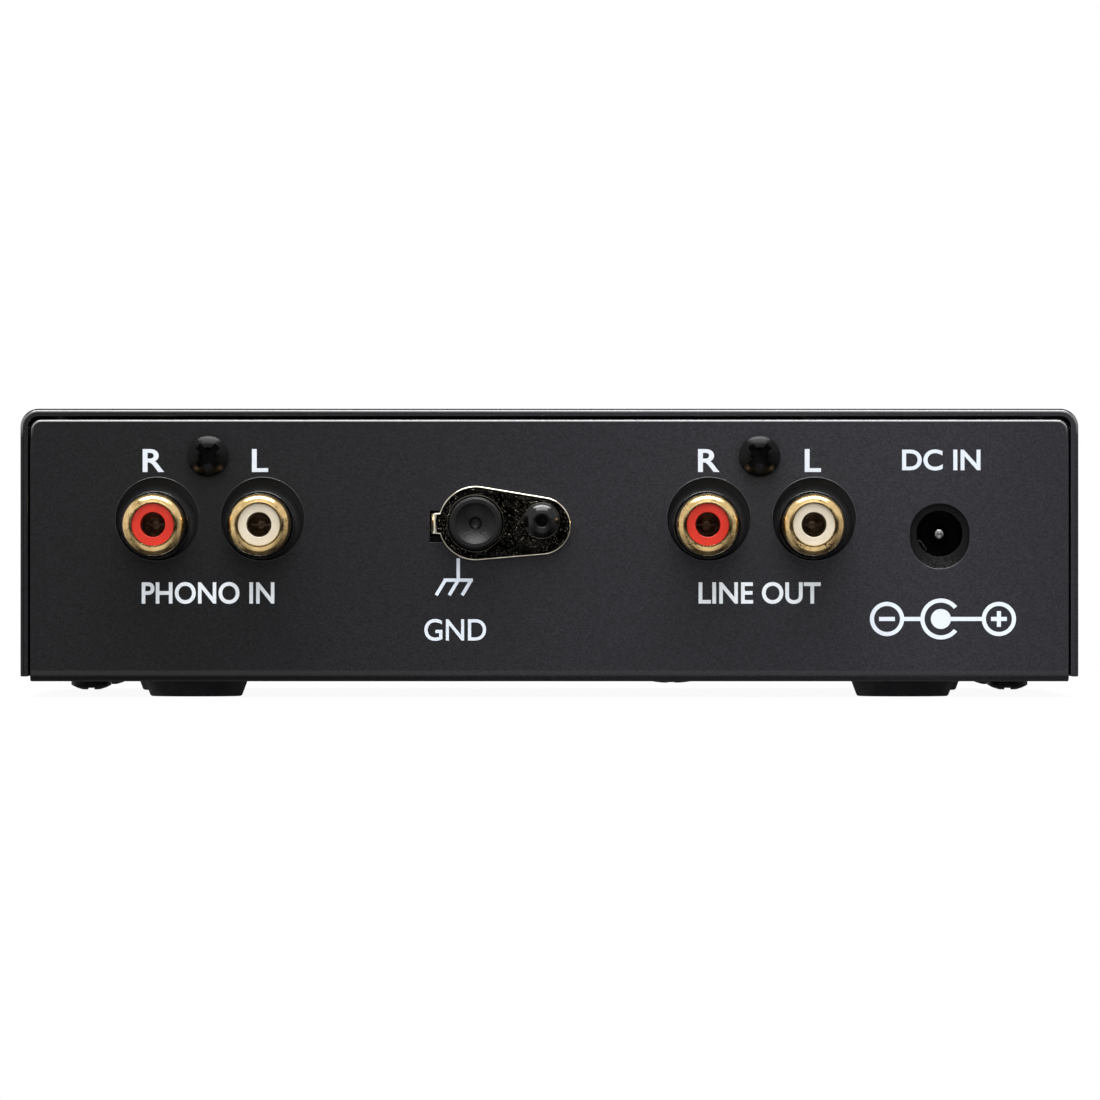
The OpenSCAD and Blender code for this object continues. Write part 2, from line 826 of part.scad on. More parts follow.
// A gold shell with a rolled lip, and the tail that grounds it on the board
module shell(x) {
    color("#d9ab52") {
        turned(x, jack_z) {
            translate([shell_in, -shell_reach])
                square([seat_r - shell_in, shell_reach + collar_out + 2 * fit]);
            translate([shell_in, collar_out + fit])
                square([shell_wall, jack_out - lip_round - collar_out - fit]);
            translate([shell_in, collar_out + fit]) square([shell_wall + flange_w, flange_t]);
            translate([lip_r, jack_out - lip_round]) intersection() {
                circle(r = lip_round);
                translate([0, -fit]) square([lip_round, lip_round + fit]);
            }
        }
        box(
            [x - tail_w / 2, rear_y + shell_reach - tail_t, board_bottom - tail_past],
            [x + tail_w / 2, rear_y + shell_reach, jack_z - shell_in - shell_wall / 2]
        );
    }
}

module input_shell_right() shell(input_x - jack_pitch / 2);
module input_shell_left() shell(input_x + jack_pitch / 2);
module output_shell_right() shell(output_x - jack_pitch / 2);
module output_shell_left() shell(output_x + jack_pitch / 2);

// The coloured insulator inside a shell, bored for the plug's pin and for the contact
module insulator(x, tint) {
    nose = jack_out - insulator_recess;
    shoulder = jack_out - lip_round - 2 * fit;
    mouth = nose - pin_bore_l;
    rear = -(tray_t + block_d);
    color(tint)
    turned(x, jack_z) {
        translate([pin_bore_r, mouth]) square([lip_r - fit - pin_bore_r, nose - mouth]);
        translate([cavity_r, rear]) square([shell_in - fit - cavity_r, shoulder - rear]);
        translate([pin_bore_r, mouth]) square([shell_in - fit - pin_bore_r, shoulder - mouth]);
    }
}

module input_insulator_right() insulator(input_x - jack_pitch / 2, "#c8281e");
module input_insulator_left() insulator(input_x + jack_pitch / 2, "#e9e1cf");
module output_insulator_right() insulator(output_x - jack_pitch / 2, "#c8281e");
module output_insulator_left() insulator(output_x + jack_pitch / 2, "#e9e1cf");

// The centre contact: two leaves that close on the plug's pin, and a tail to the board
module contact(x) {
    mouth_y = rear_y - (jack_out - insulator_recess - pin_bore_l) + fit;
    tail_y = block_rear + fit;
    color("#9a7440") {
        difference() {
            rod_y(x, jack_z, mouth_y, tail_y + tail_t / 2, contact_r);
            cone_y(x, jack_z, mouth_y - fit, mouth_y + contact_taper,
                contact_mouth_r, contact_end_r);
            box(
                [x - contact_r - over, mouth_y - over, jack_z - contact_slit / 2],
                [x + contact_r + over, mouth_y + contact_taper + 1, jack_z + contact_slit / 2]
            );
        }
        box(
            [x - tail_w / 2, tail_y, board_bottom - tail_past],
            [x + tail_w / 2, tail_y + tail_t, jack_z + tail_w / 2]
        );
    }
}

module input_contact_right() contact(input_x - jack_pitch / 2);
module input_contact_left() contact(input_x + jack_pitch / 2);
module output_contact_right() contact(output_x - jack_pitch / 2);
module output_contact_left() contact(output_x + jack_pitch / 2);

// ---- Power jack ----

module leaf_slot(extra) {
    reach = power_bore_r + leaf_t + extra;
    translate([power_x, 0, power_z]) rotate([0, leaf_angle, 0])
        box(
            [-leaf_w / 2 - extra, rear_in + leaf_front - extra, power_bore_r - leaf_bulge - extra],
            [leaf_w / 2 + extra, rear_in + power_bore_l - leaf_end, reach]
        );
}

module power_jack() {
    color("#1a1a1c")
    difference() {
        box([power_x - power_w / 2, rear_in, board_z],
            [power_x + power_w / 2, rear_in + power_d, power_top]);
        rod_y(power_x, power_z, rear_in - over, rear_in + power_bore_l, power_bore_r);
        rod_y(power_x, power_z, rear_in, rear_in + power_d + over, power_shank_r + fit);
        leaf_slot(fit);
    }
}

module power_pin() {
    tip_y = rear_in + power_pin_recess;
    tail_y = rear_in + power_d + fit;
    color("#c3c5c8") {
        rod_y(power_x, power_z, tip_y + power_pin_r, rear_in + power_bore_l, power_pin_r);
        rod_y(power_x, power_z, tip_y + power_pin_r, tail_y + tail_t / 2, power_shank_r);
        translate([power_x, tip_y + power_pin_r, power_z]) sphere(r = power_pin_r);
        box(
            [power_x - tail_w / 2, tail_y, board_bottom - tail_past],
            [power_x + tail_w / 2, tail_y + tail_t, power_z]
        );
    }
}

// The sprung leaf that touches the plug's sleeve
module power_leaf() {
    color("#c9b98a") leaf_slot(0);
}

// ---- Ground terminal ----

// Outline of the plate: two round ends joined by their common tangents
module plate_outline() {
    span = norm([plate_l, plate_slope]);
    slope = atan2(-plate_slope, plate_l);
    lean = acos((plate_big_r - plate_small_r) / span);
    translate([ground_x, ground_z]) rotate(slope) {
        circle(r = plate_big_r, $fn = 96);
        translate([span, 0]) circle(r = plate_small_r, $fn = 96);
        polygon([
            plate_big_r * [cos(lean), sin(lean)],
            plate_big_r * [cos(lean), -sin(lean)],
            [span, 0] + plate_small_r * [cos(lean), -sin(lean)],
            [span, 0] + plate_small_r * [cos(lean), sin(lean)]
        ]);
    }
}

// The plate's tab from above, bent round into the slot
module hook_outline() {
    translate([hook_x + plate_t, rear_y - plate_t])
        square([ground_x - plate_big_r + over - hook_x - plate_t, plate_t]);
    translate([hook_x, rear_y]) square([plate_t, tray_t + hook_past]);
    intersection() {
        translate([hook_x, rear_y - plate_t]) square(plate_t);
        translate([hook_x + plate_t, rear_y]) circle(r = plate_t);
    }
}

module ground_plate() {
    color("#c9c4b4")
    difference() {
        union() {
            along_y(rear_y - plate_t, rear_y) plate_outline();
            translate([0, 0, hook_z - hook_h / 2]) linear_extrude(hook_h) hook_outline();
        }
        rod_y(ground_x, ground_z, rear_y - plate_t - over, rear_y + over,
            ground_button_r + button_gap);
        rod_y(ground_screw_x, ground_screw_z, rear_y - plate_t - over, rear_y + over,
            ground_screw_r + fit);
    }
}

// The small domed screw that holds the plate, with a round dimple
module ground_screw() {
    length = plate_t + tray_t + ear_t + strap_t + nut_t + screw_tip;
    color("#111113")
    translate([ground_screw_x, rear_y - plate_t, ground_screw_z]) rotate([90, 0, 0]) {
        difference() {
            pan_head(ground_head_r, ground_head_h);
            translate([0, 0, ground_head_h - screw_dimple_h])
                cylinder(r = screw_dimple_r, h = screw_dimple_h + over);
        }
        translate([0, 0, -length]) cylinder(r = ground_screw_r, h = length);
    }
}

module ground_nut() {
    y0 = rear_in + ear_t + strap_t;
    color("#c3c5c8")
    difference() {
        translate([ground_screw_x, y0 + nut_t, ground_screw_z]) rotate([90, 0, 0])
            cylinder(r = nut_w / sqrt(3), h = nut_t, $fn = 6);
        rod_y(ground_screw_x, ground_screw_z, y0 - over, y0 + nut_t + over, ground_screw_r + fit);
    }
}

// The moulded chamber behind the panel that guides the button and holds its spring
module ground_housing() {
    outer = chamber_r + housing_wall;
    color("#1a1a1c")
    difference() {
        union() {
            box([ground_x - outer, rear_in, ground_z - outer],
                [housing_right, housing_rear, ground_z + outer]);
            box([ground_x, rear_in, ground_screw_z - plate_small_r],
                [ground_screw_x + strap_r, rear_in + ear_t,
                    ground_screw_z + plate_small_r]);
        }
        box([ground_x - outer - over, rear_in - over, ground_z - chamber_r],
            [ground_x + chamber_r, rear_in + chamber_h, ground_z + chamber_r]);
        rod_y(ground_x, ground_z, rear_in, housing_rear + over, stem_r + run);
        rod_y(ground_screw_x, ground_screw_z, rear_in - over, rear_in + ear_t + over,
            ground_screw_r + fit);
    }
}

// The dished push button and its stem
module ground_button() {
    face = plate_t + ground_button_out;
    shoulder = rear_y - jaw_front;
    end = rear_y - housing_rear - stem_past;
    hollow_r = ground_dish_r - dish_draft;
    hollow_h = ground_dish_h - dish_step;
    round_r = (hollow_r * hollow_r + hollow_h * hollow_h) / (2 * hollow_h);
    turn = asin(hollow_r / round_r) / dish_arcs;
    color("#19191b")
    difference() {
        turned(ground_x, ground_z) {
            polygon(concat(
                [
                    [0, shoulder], [ground_button_r, shoulder], [ground_button_r, face - soft],
                    [ground_button_r - soft, face], [ground_dish_r + soft, face],
                    [ground_dish_r, face - soft]
                ],
                [for (i = [dish_arcs:-1:0])
                    [round_r * sin(turn * i), face - ground_dish_h + round_r * (1 - cos(turn * i))]]
            ));
            translate([0, end]) square([stem_r, shoulder - end]);
        }
        translate([ground_x, rear_y - face + ground_dish_h - dimple_rise, ground_z])
            sphere(r = dimple_r);
    }
}

// The nickel jaw on the button's stem, forked around the plate's hook
module ground_jaw() {
    tip_x = hook_x - jaw_reach;
    arm_h = slot_h + 2 * jaw_past;
    color("#c3bfae")
    difference() {
        union() {
            rod_y(ground_x, ground_z, jaw_front, jaw_back, jaw_r);
            box([tip_x, jaw_front, slot_z - arm_h / 2],
                [ground_x, jaw_back, slot_z + arm_h / 2]);
        }
        rod_y(ground_x, ground_z, jaw_front - over, jaw_back + over, stem_r + fit);
        box([tip_x - over, jaw_front - over, hook_z - hook_h / 2 - pass],
            [hook_x + plate_t + pass, jaw_back + over, hook_z + hook_h / 2 + pass]);
    }
}

// A round wire swept along the helix of the return spring
module ground_spring() {
    sides = 8;
    steps = 12 * spring_turns;
    r = spring_wire / 2;
    y0 = jaw_back + r + spring_gap;
    y1 = rear_in + chamber_h - r - spring_gap;
    function ring(i) =
        let (a = 360 * spring_turns * i / steps, y = y0 + (y1 - y0) * i / steps)
        [for (k = [0:sides - 1])
            let (b = 360 * k / sides, reach = spring_r + r * cos(b))
            [ground_x + reach * cos(a), y + r * sin(b), ground_z + reach * sin(a)]];
    points = [for (i = [0:steps]) each ring(i)];
    walls = [for (i = [0:steps - 1], k = [0:sides - 1])
        let (n = (k + 1) % sides, a = i * sides, b = a + sides)
        [a + k, b + k, b + n, a + n]];
    first = [for (k = [0:sides - 1]) k];
    last = [for (k = [sides - 1:-1:0]) steps * sides + k];
    color("#b9bbbd") polyhedron(points, concat(walls, [first, last]));
}

// The strap that grounds the terminal's nut on the board
module ground_strap() {
    y0 = rear_in + ear_t;
    color("#c7a564")
    difference() {
        union() {
            rod_y(ground_screw_x, ground_screw_z, y0, y0 + strap_t, strap_r);
            box([ground_screw_x - strap_w / 2, y0, board_z],
                [ground_screw_x + strap_w / 2, y0 + strap_t, ground_screw_z]);
            box([ground_screw_x - strap_w / 2, y0, board_z],
                [ground_screw_x + strap_w / 2, y0 + strap_foot, board_z + strap_t]);
        }
        rod_y(ground_screw_x, ground_screw_z, y0 - over, y0 + strap_t + over,
            ground_screw_r + fit);
    }
}

// ---- Controls ----

module power_switch() {
    room = plunger_w / 2 + run;
    color("#202022")
    difference() {
        box([button_x - switch_w / 2, switch_front - switch_l, board_z],
            [button_x + switch_w / 2, switch_front, board_z + switch_h]);
        box([button_x - room, switch_front - plunger_in - plunger_room, control_z - room],
            [button_x + room, switch_front + over, control_z + room]);
    }
}

module switch_plunger() {
    half = plunger_w / 2;
    color("#d8d6cf")
    box([button_x - half, switch_front - plunger_in, control_z - half],
        [button_x + half, cap_back + cap_socket, control_z + half]);
}

module power_button() {
    half = plunger_w / 2 + fit;
    face = button_out;
    back = cap_back - front_y;
    color("#19191b")
    difference() {
        turned_front(button_x, control_z)
            polygon([
                [0, back], [button_r, back], [button_r, face - soft], [button_r - soft, face],
                [button_r - cap_rim, face], [0, face - soft]
            ]);
        box([button_x - half, cap_back - over, control_z - half],
            [button_x + half, cap_back + cap_socket, control_z + half]);
    }
}

module lamp() {
    color("#7fc9ff")
    turned_front(lamp_x, control_z) {
        intersection() {
            translate([0, lamp_out - lamp_r]) circle(r = lamp_r);
            translate([0, -front_y]) square([lamp_r, 2 * front_y]);
        }
        translate([0, lamp_back - front_y])
            square([lamp_r, lamp_out - lamp_r + front_y - lamp_back]);
    }
}

module lamp_collar() {
    color("#19191b")
    turned_front(lamp_x, control_z)
        translate([lamp_r + fit, lamp_back - front_y])
            square([lamp_wall, front_in - lamp_back]);
}

module lamp_legs() {
    color("#c3c5c8")
    for (side = [-1, 1]) {
        x = lamp_x + side * leg_gap / 2;
        y = lamp_back - leg_back;
        box([x - leg_w / 2, y - leg_w / 2, board_bottom - tail_past],
            [x + leg_w / 2, y + leg_w / 2, control_z + leg_w / 2]);
        box([x - leg_w / 2, y - leg_w / 2, control_z - leg_w / 2],
            [x + leg_w / 2, lamp_back, control_z + leg_w / 2]);
    }
}

// ---- Components on the board ----

module amplifiers() {
    color("#17171a")
    for (p = amplifier_places)
        difference() {
            box([p[0] - chip_l / 2, p[1] - chip_w / 2, board_z + chip_rise],
                [p[0] + chip_l / 2, p[1] + chip_w / 2, board_z + chip_rise + chip_h]);
            rod_z(p[0] - chip_l / 2, p[1], board_z + chip_rise + chip_h - notch_h,
                board_z + chip_rise + chip_h + over, notch_r);
        }
}

module amplifier_legs() {
    color("#c3c5c8")
    for (p = amplifier_places, i = [0:3], side = [-1, 1])
        translate([p[0] + leg_gap * (i - 1.5), p[1] + side * (chip_w / 2 + leg_w / 4), board_z])
            translate([-leg_w / 2, -leg_w / 4, 0]) cube([leg_w, leg_w / 2, chip_rise + chip_h / 2]);
}

module capacitor_cans() {
    color("#20242e") {
        for (p = small_can_places)
            rod_z(p[0], p[1], board_z, board_z + small_can_h, small_can_r);
        for (p = large_can_places)
            rod_z(p[0], p[1], board_z, board_z + large_can_h, large_can_r);
    }
}

module capacitor_tops() {
    color("#c3c5c8") {
        for (p = small_can_places)
            rod_z(p[0], p[1], board_z + small_can_h, board_z + small_can_h + can_top_h,
                small_can_r - can_sleeve);
        for (p = large_can_places)
            rod_z(p[0], p[1], board_z + large_can_h, board_z + large_can_h + can_top_h,
                large_can_r - can_sleeve);
    }
}

module film_capacitors() {
    color("#a8352b")
    for (p = film_places)
        box([p[0] - film_l / 2, p[1] - film_w / 2, board_z],
            [p[0] + film_l / 2, p[1] + film_w / 2, board_z + film_h]);
}

module resistors() {
    color("#3f7fa6")
    for (p = resistor_places)
        rod_y(p[0], board_z + resistor_rise, p[1] - resistor_l / 2, p[1] + resistor_l / 2,
            resistor_r);
}

module resistor_leads() {
    z = board_z + resistor_rise;
    color("#c3c5c8")
    for (p = resistor_places, side = [-1, 1]) {
        end = p[1] + side * resistor_l / 2;
        tip = end + side * lead_reach;
        box([p[0] - leg_w / 2, min(end, tip), z - leg_w / 2],
            [p[0] + leg_w / 2, max(end, tip), z + leg_w / 2]);
        box([p[0] - leg_w / 2, tip - leg_w / 2, board_z],
            [p[0] + leg_w / 2, tip + leg_w / 2, z + leg_w / 2]);
    }
}

module regulator() {
    x = regulator_place[0];
    y = regulator_place[1];
    color("#17171a") {
        box([x - tab_plate_w / 2, y - regulator_t, board_z + regulator_rise],
            [x + tab_plate_w / 2, y, board_z + regulator_rise + regulator_h]);
        for (i = [-1:1])
            box([x + leg_gap * i - leg_w, y - regulator_t / 2, board_z],
                [x + leg_gap * i + leg_w, y - regulator_t / 2 + leg_w,
                    board_z + regulator_rise]);
    }
}

module regulator_tab() {
    x = regulator_place[0];
    y = regulator_place[1];
    top = board_z + regulator_rise + tab_plate_h;
    color("#c3c5c8")
    difference() {
        box([x - tab_plate_w / 2, y, board_z + regulator_rise],
            [x + tab_plate_w / 2, y + tab_plate_t, top]);
        rod_y(x, top - tab_hole_drop, y - over, y + tab_plate_t + over, tab_hole_r);
    }
}

// ---- Drawing ----

tray();
cover();
foot_rear_left();
foot_rear_right();
foot_front_left();
foot_front_right();
cover_screws();
floor_screws();
board_screws();
standoffs();
circuit_board();
input_block();
output_block();
jack_screws();
input_shell_right();
input_shell_left();
output_shell_right();
output_shell_left();
input_insulator_right();
input_insulator_left();
output_insulator_right();
output_insulator_left();
input_contact_right();
input_contact_left();
output_contact_right();
output_contact_left();
power_jack();
power_pin();
power_leaf();
ground_plate();
ground_screw();
ground_nut();
ground_housing();
ground_button();
ground_jaw();
ground_spring();
ground_strap();
power_switch();
switch_plunger();
power_button();
lamp();
lamp_collar();
lamp_legs();
amplifiers();
amplifier_legs();
capacitor_cans();
capacitor_tops();
film_capacitors();
resistors();
resistor_leads();
regulator();
regulator_tab();
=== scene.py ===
"""Looks of a small phono preamplifier: powder-coated steel, gilt phono jacks, a nickel terminal."""
import math

import bpy
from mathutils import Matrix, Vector
from mathutils.geometry import delaunay_2d_cdt


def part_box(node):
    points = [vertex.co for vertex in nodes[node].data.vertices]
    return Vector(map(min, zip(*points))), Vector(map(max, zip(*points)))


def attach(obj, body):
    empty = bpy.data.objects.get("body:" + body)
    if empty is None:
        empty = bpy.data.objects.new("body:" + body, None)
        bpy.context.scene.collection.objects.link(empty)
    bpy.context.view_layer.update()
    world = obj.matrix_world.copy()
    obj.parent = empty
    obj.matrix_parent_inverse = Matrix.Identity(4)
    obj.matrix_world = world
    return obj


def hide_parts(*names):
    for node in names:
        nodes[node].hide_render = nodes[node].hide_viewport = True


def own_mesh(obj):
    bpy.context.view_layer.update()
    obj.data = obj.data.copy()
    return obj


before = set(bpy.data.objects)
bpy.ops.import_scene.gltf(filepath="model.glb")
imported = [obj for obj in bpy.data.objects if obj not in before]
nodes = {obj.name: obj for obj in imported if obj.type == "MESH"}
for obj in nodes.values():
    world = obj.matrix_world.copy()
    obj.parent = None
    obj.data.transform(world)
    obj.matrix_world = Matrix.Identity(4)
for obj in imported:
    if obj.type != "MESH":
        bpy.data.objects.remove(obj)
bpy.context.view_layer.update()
MM = 0.001

# ---- Camera: level, straight at the connector panel, from far away ----

PHOTO = 1100             # width of the photograph's frame in pixels
PIXEL = 0.1327 * MM      # size of one of its pixels on the connector panel
DISTANCE = 1.5           # from the camera to the connector panel
SENSOR = 36              # millimetres
MIDDLE_X = 0.08 * MM     # place of the frame's middle on the panel
MIDDLE_Z = 19.55 * MM

PANEL_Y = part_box("tray")[0].y

lens = bpy.data.cameras.new("camera")
lens.sensor_width = SENSOR
lens.lens = SENSOR * DISTANCE / (PHOTO * PIXEL)
lens.clip_start = 0.05
lens.clip_end = 50
camera = bpy.data.objects.new("camera", lens)
camera.location = (MIDDLE_X, PANEL_Y - DISTANCE, MIDDLE_Z)
camera.rotation_euler = (math.radians(90), 0, 0)
bpy.context.scene.collection.objects.link(camera)
bpy.context.scene.camera = camera
bpy.context.scene.view_settings.view_transform = "Standard"


def middle_of(node):
    """The middle of a CAD node's box."""
    low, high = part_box(node)
    return (low + high) / 2


# ---- Materials ----

def linear(r, g, b):
    """A display colour of 0 to 255 as linear light, with alpha."""
    def one(v):
        v /= 255
        return v / 12.92 if v <= 0.04045 else ((v + 0.055) / 1.055) ** 2.4
    return one(r), one(g), one(b), 1


def smooth_step(tree, source, start, end, low, high):
    """A value that runs smoothly from low to high as source goes from start to end."""
    made = tree.nodes.new("ShaderNodeMapRange")
    made.interpolation_type = "SMOOTHSTEP"
    tree.links.new(source, made.inputs["Value"])
    for key, value in zip(("From Min", "From Max", "To Min", "To Max"), (start, end, low, high)):
        made.inputs[key].default_value = value
    return made.outputs["Result"]


def axes_of(tree, source):
    """The X, Y and Z of a vector."""
    made = tree.nodes.new("ShaderNodeSeparateXYZ")
    tree.links.new(source, made.inputs[0])
    return (made.outputs[axis] for axis in "XYZ")


class Look:
    """A material's node tree round one Principled shader, with object coordinates in metres."""

    def __init__(self, name, **settings):
        self.material = bpy.data.materials.new(name)
        self.material.use_nodes = True
        self.tree = self.material.node_tree
        self.shader = self.tree.nodes["Principled BSDF"]
        self.place = self.add("ShaderNodeTexCoord").outputs["Object"]
        for key, value in settings.items():
            self.shader.inputs[key.replace("_", " ")].default_value = value

    def add(self, kind, **fields):
        made = self.tree.nodes.new(kind)
        for key, value in fields.items():
            setattr(made, key, value)
        return made

    def link(self, source, target):
        self.tree.links.new(source, target)

    def noise(self, size, detail=3, roughness=0.55, stretch=(1, 1, 1)):
        """Noise whose grains are about size metres wide."""
        mapping = self.add("ShaderNodeMapping")
        mapping.inputs["Scale"].default_value = stretch
        self.link(self.place, mapping.inputs["Vector"])
        made = self.add("ShaderNodeTexNoise")
        made.inputs["Scale"].default_value = 1 / size
        made.inputs["Detail"].default_value = detail
        made.inputs["Roughness"].default_value = roughness
        self.link(mapping.outputs["Vector"], made.inputs["Vector"])
        return made.outputs["Fac"]

    def ramp(self, source, *stops):
        """Colours or greys at places from 0 to 1."""
        made = self.add("ShaderNodeValToRGB")
        marks = made.color_ramp.elements
        while len(marks) < len(stops):
            marks.new(0.5)
        for mark, (position, value) in zip(marks, stops):
            mark.position = position
            mark.color = value if isinstance(value, tuple) else (value, value, value, 1)
        self.link(source, made.inputs["Fac"])
        return made.outputs["Color"]

    def band(self, *values):
        return smooth_step(self.tree, *values)

    def times(self, first, second):
        made = self.add("ShaderNodeMath", operation="MULTIPLY")
        self.link(first, made.inputs[0])
        self.link(second, made.inputs[1])
        return made.outputs[0]

    def mix(self, share, first, second):
        made = self.add("ShaderNodeMix", data_type="RGBA")
        self.link(share, made.inputs["Factor"])
        self.link(first, made.inputs["A"])
        self.link(second, made.inputs["B"])
        return made.outputs["Result"]

    def bump(self, *layers):
        """Bumps in a row, each a (height source, depth in metres, strength)."""
        last = None
        for source, depth, strength in layers:
            made = self.add("ShaderNodeBump")
            made.inputs["Distance"].default_value = depth
            made.inputs["Strength"].default_value = strength
            self.link(source, made.inputs["Height"])
            if last:
                self.link(last, made.inputs["Normal"])
            last = made.outputs["Normal"]
        self.link(last, self.shader.inputs["Normal"])

    def colour(self, source):
        self.link(source, self.shader.inputs["Base Color"])

    def roughness(self, source):
        self.link(source, self.shader.inputs["Roughness"])


def powder_coat(name, glossy_z=None, matt_top=False, **settings):
    """Black powder coat: a fine orange-peel skin, with painted light on it: greyer towards the right,
    as if lit from that side, and a little less grey again at the far right end.

    With glossy_z, its gloss starts at that height; with matt_top, there is none where it looks up."""
    look = Look(name, Specular_IOR_Level=0 if matt_top else 0.16, **settings)
    grain = look.noise(0.2 * MM, 3, 0.6, (0.8, 1, 1))
    peel = look.noise(0.45 * MM, 2)
    drift = look.noise(30 * MM, 2)
    x, _, z = axes_of(look.tree, look.place)
    # painted light: the coat's colour runs from shaded on the left to lit on the right, and turns a
    # little back towards shaded at the far right
    across = look.times(look.band(x, -60 * MM, 50 * MM, 0, 1), look.band(x, 50 * MM, 70 * MM, 1, 0.75))
    shaded_coat = look.ramp(grain, (0.32, linear(9, 9, 11)), (0.68, linear(25, 25, 28)))
    lit_coat = look.ramp(grain, (0.32, linear(30, 30, 34)), (0.68, linear(47, 47, 53)))
    look.colour(look.mix(across, shaded_coat, lit_coat))
    look.roughness(look.ramp(drift, (0.3, 0.4), (0.7, 0.46)))
    look.bump((peel, 0.04 * MM, 0.4), (grain, 0.04 * MM, 0.8))
    if glossy_z:
        gloss = look.band(z, glossy_z, glossy_z + 2 * MM, 0.1, 1)
        if matt_top:
            _, _, up = axes_of(look.tree, look.add("ShaderNodeTexCoord").outputs["Normal"])
            gloss = look.times(gloss, look.band(up, 0.45, 0.65, 1, 0))
        look.link(gloss, look.shader.inputs["Coat Weight"])
    return look.material


def gilt():
    """Gold flash on turned brass, with fine pits and patches of specks; next to the panel it is
    painted near black, partly a blackened flange and partly painted shade at the shell's root.
    """
    look = Look("gilt", Metallic=1, Coat_Weight=0.3, Coat_Roughness=0.05)
    stain = look.noise(0.9 * MM, 4, 0.6)
    pits = look.noise(0.14 * MM, 3, 0.7)
    specks = look.times(look.ramp(look.noise(0.2 * MM, 2, 0.6), (0.55, 0), (0.6, 1)),
                        look.ramp(look.noise(1.6 * MM, 1), (0.54, 0), (0.6, 1)))
    _, y, _ = axes_of(look.tree, look.place)
    # near black next to the panel: partly the flange's blackened finish, partly painted shade where
    # the shell sits in its collar
    blackened_and_shaded_root = look.band(y, PANEL_Y - 3 * MM, PANEL_Y - 2.4 * MM, 0, 1)
    gold = look.ramp(stain, (0.3, linear(196, 162, 106)), (0.7, linear(230, 200, 142)))
    brown = look.ramp(stain, (0.3, linear(40, 28, 12)), (0.7, linear(70, 52, 24)))
    black = look.ramp(stain, (0.3, linear(40, 39, 37)), (0.7, linear(60, 58, 55)))
    look.colour(look.mix(blackened_and_shaded_root, look.mix(specks, gold, brown), black))
    look.roughness(look.ramp(stain, (0.35, 0.1), (0.7, 0.2)))
    look.bump((pits, 0.016 * MM, 0.45))
    return look.material


def nickel():
    """Bright nickel plate, mirror-smooth but for scattered pits that catch the light."""
    look = Look("nickel", Metallic=1)
    pits = look.ramp(look.noise(0.13 * MM, 2, 0.6), (0.68, 0), (0.74, 1))
    patches = look.ramp(look.noise(2 * MM, 2), (0.36, 0), (0.6, 1))
    stain = look.noise(1.4 * MM, 4)
    look.colour(look.ramp(stain, (0.3, linear(196, 188, 168)), (0.7, linear(236, 230, 214))))
    look.roughness(look.ramp(stain, (0.3, 0.05), (0.7, 0.1)))
    look.bump((look.times(pits, patches), 0.03 * MM, 1))
    return look.material


def plastic(name, dark, light, gloss=(0.28, 0.4), grain=0.25 * MM, depth=0.012 * MM, **settings):
    """Moulded plastic whose skin has faint flow marks and a fine grain."""
    look = Look(name, **settings)
    flow = look.noise(3 * MM, 3)
    skin = look.noise(grain, 3, 0.6)
    look.colour(look.ramp(flow, (0.36, linear(*dark)), (0.64, linear(*light))))
    look.roughness(look.ramp(flow, (0.3, gloss[0]), (0.7, gloss[1])))
    look.bump((skin, depth, 0.4))
    return look.material


def metal(name, dark, light, gloss=(0.25, 0.4), grain=0.3 * MM, depth=0.008 * MM, stretch=(1, 1, 1),
          bare=1):
    """Bare or plated metal with drawing or turning marks; dull where less than wholly bare."""
    look = Look(name, Metallic=bare)
    stain = look.noise(2.2 * MM, 4)
    marks = look.noise(grain, 3, 0.6, stretch)
    look.colour(look.ramp(stain, (0.3, linear(*dark)), (0.7, linear(*light))))
    look.roughness(look.ramp(stain, (0.3, gloss[0]), (0.7, gloss[1])))
    look.bump((marks, depth, 0.4))
    return look.material


def jack_black():
    """Glossy black housing, dull and a little dusty behind the panel."""
    look = Look("jack_black", IOR=1.6)
    flow = look.noise(3 * MM, 3)
    skin = look.noise(0.25 * MM, 3, 0.6)
    _, y, _ = axes_of(look.tree, look.place)
    behind = look.band(y, PANEL_Y - 0.3 * MM, PANEL_Y + 0.3 * MM, 0, 1)
    bright = look.ramp(flow, (0.3, linear(14, 14, 15)), (0.7, linear(24, 24, 26)))
    deep = look.ramp(flow, (0.3, linear(26, 26, 28)), (0.7, linear(36, 36, 38)))
    look.colour(look.mix(behind, bright, deep))
    gloss = look.ramp(flow, (0.3, 0.2), (0.7, 0.3))
    dust = look.ramp(flow, (0.3, 0.7), (0.7, 0.8))
    look.roughness(look.mix(behind, gloss, dust))
    look.bump((skin, 0.012 * MM, 0.4))
    return look.material


def jack_grey():
    """Grainy grey housing of the power jack, with a painted shadow above the bore, where the panel's
    edge would shade it.
    """
    look = Look("jack_grey", Specular_IOR_Level=0.2)
    flow = look.noise(3 * MM, 3)
    grain = look.noise(0.3 * MM, 3, 0.6)
    _, _, z = axes_of(look.tree, look.place)
    axis_z = middle_of("power_pin").z
    # painted shadow: the face turns near black above the bore, where the panel's hole edge would cast
    # its shade
    painted_shadow_share = look.band(z, axis_z - 3 * MM, axis_z + 1.5 * MM, 0, 1)
    lit = look.ramp(grain, (0.42, linear(4, 4, 4)), (0.58, linear(84, 82, 80)))
    black = look.ramp(grain, (0.42, linear(2, 2, 2)), (0.58, linear(9, 9, 9)))
    look.colour(look.mix(painted_shadow_share, lit, black))
    look.roughness(look.ramp(flow, (0.3, 0.45), (0.7, 0.6)))
    look.bump((grain, 0.12 * MM, 0.4))
    return look.material


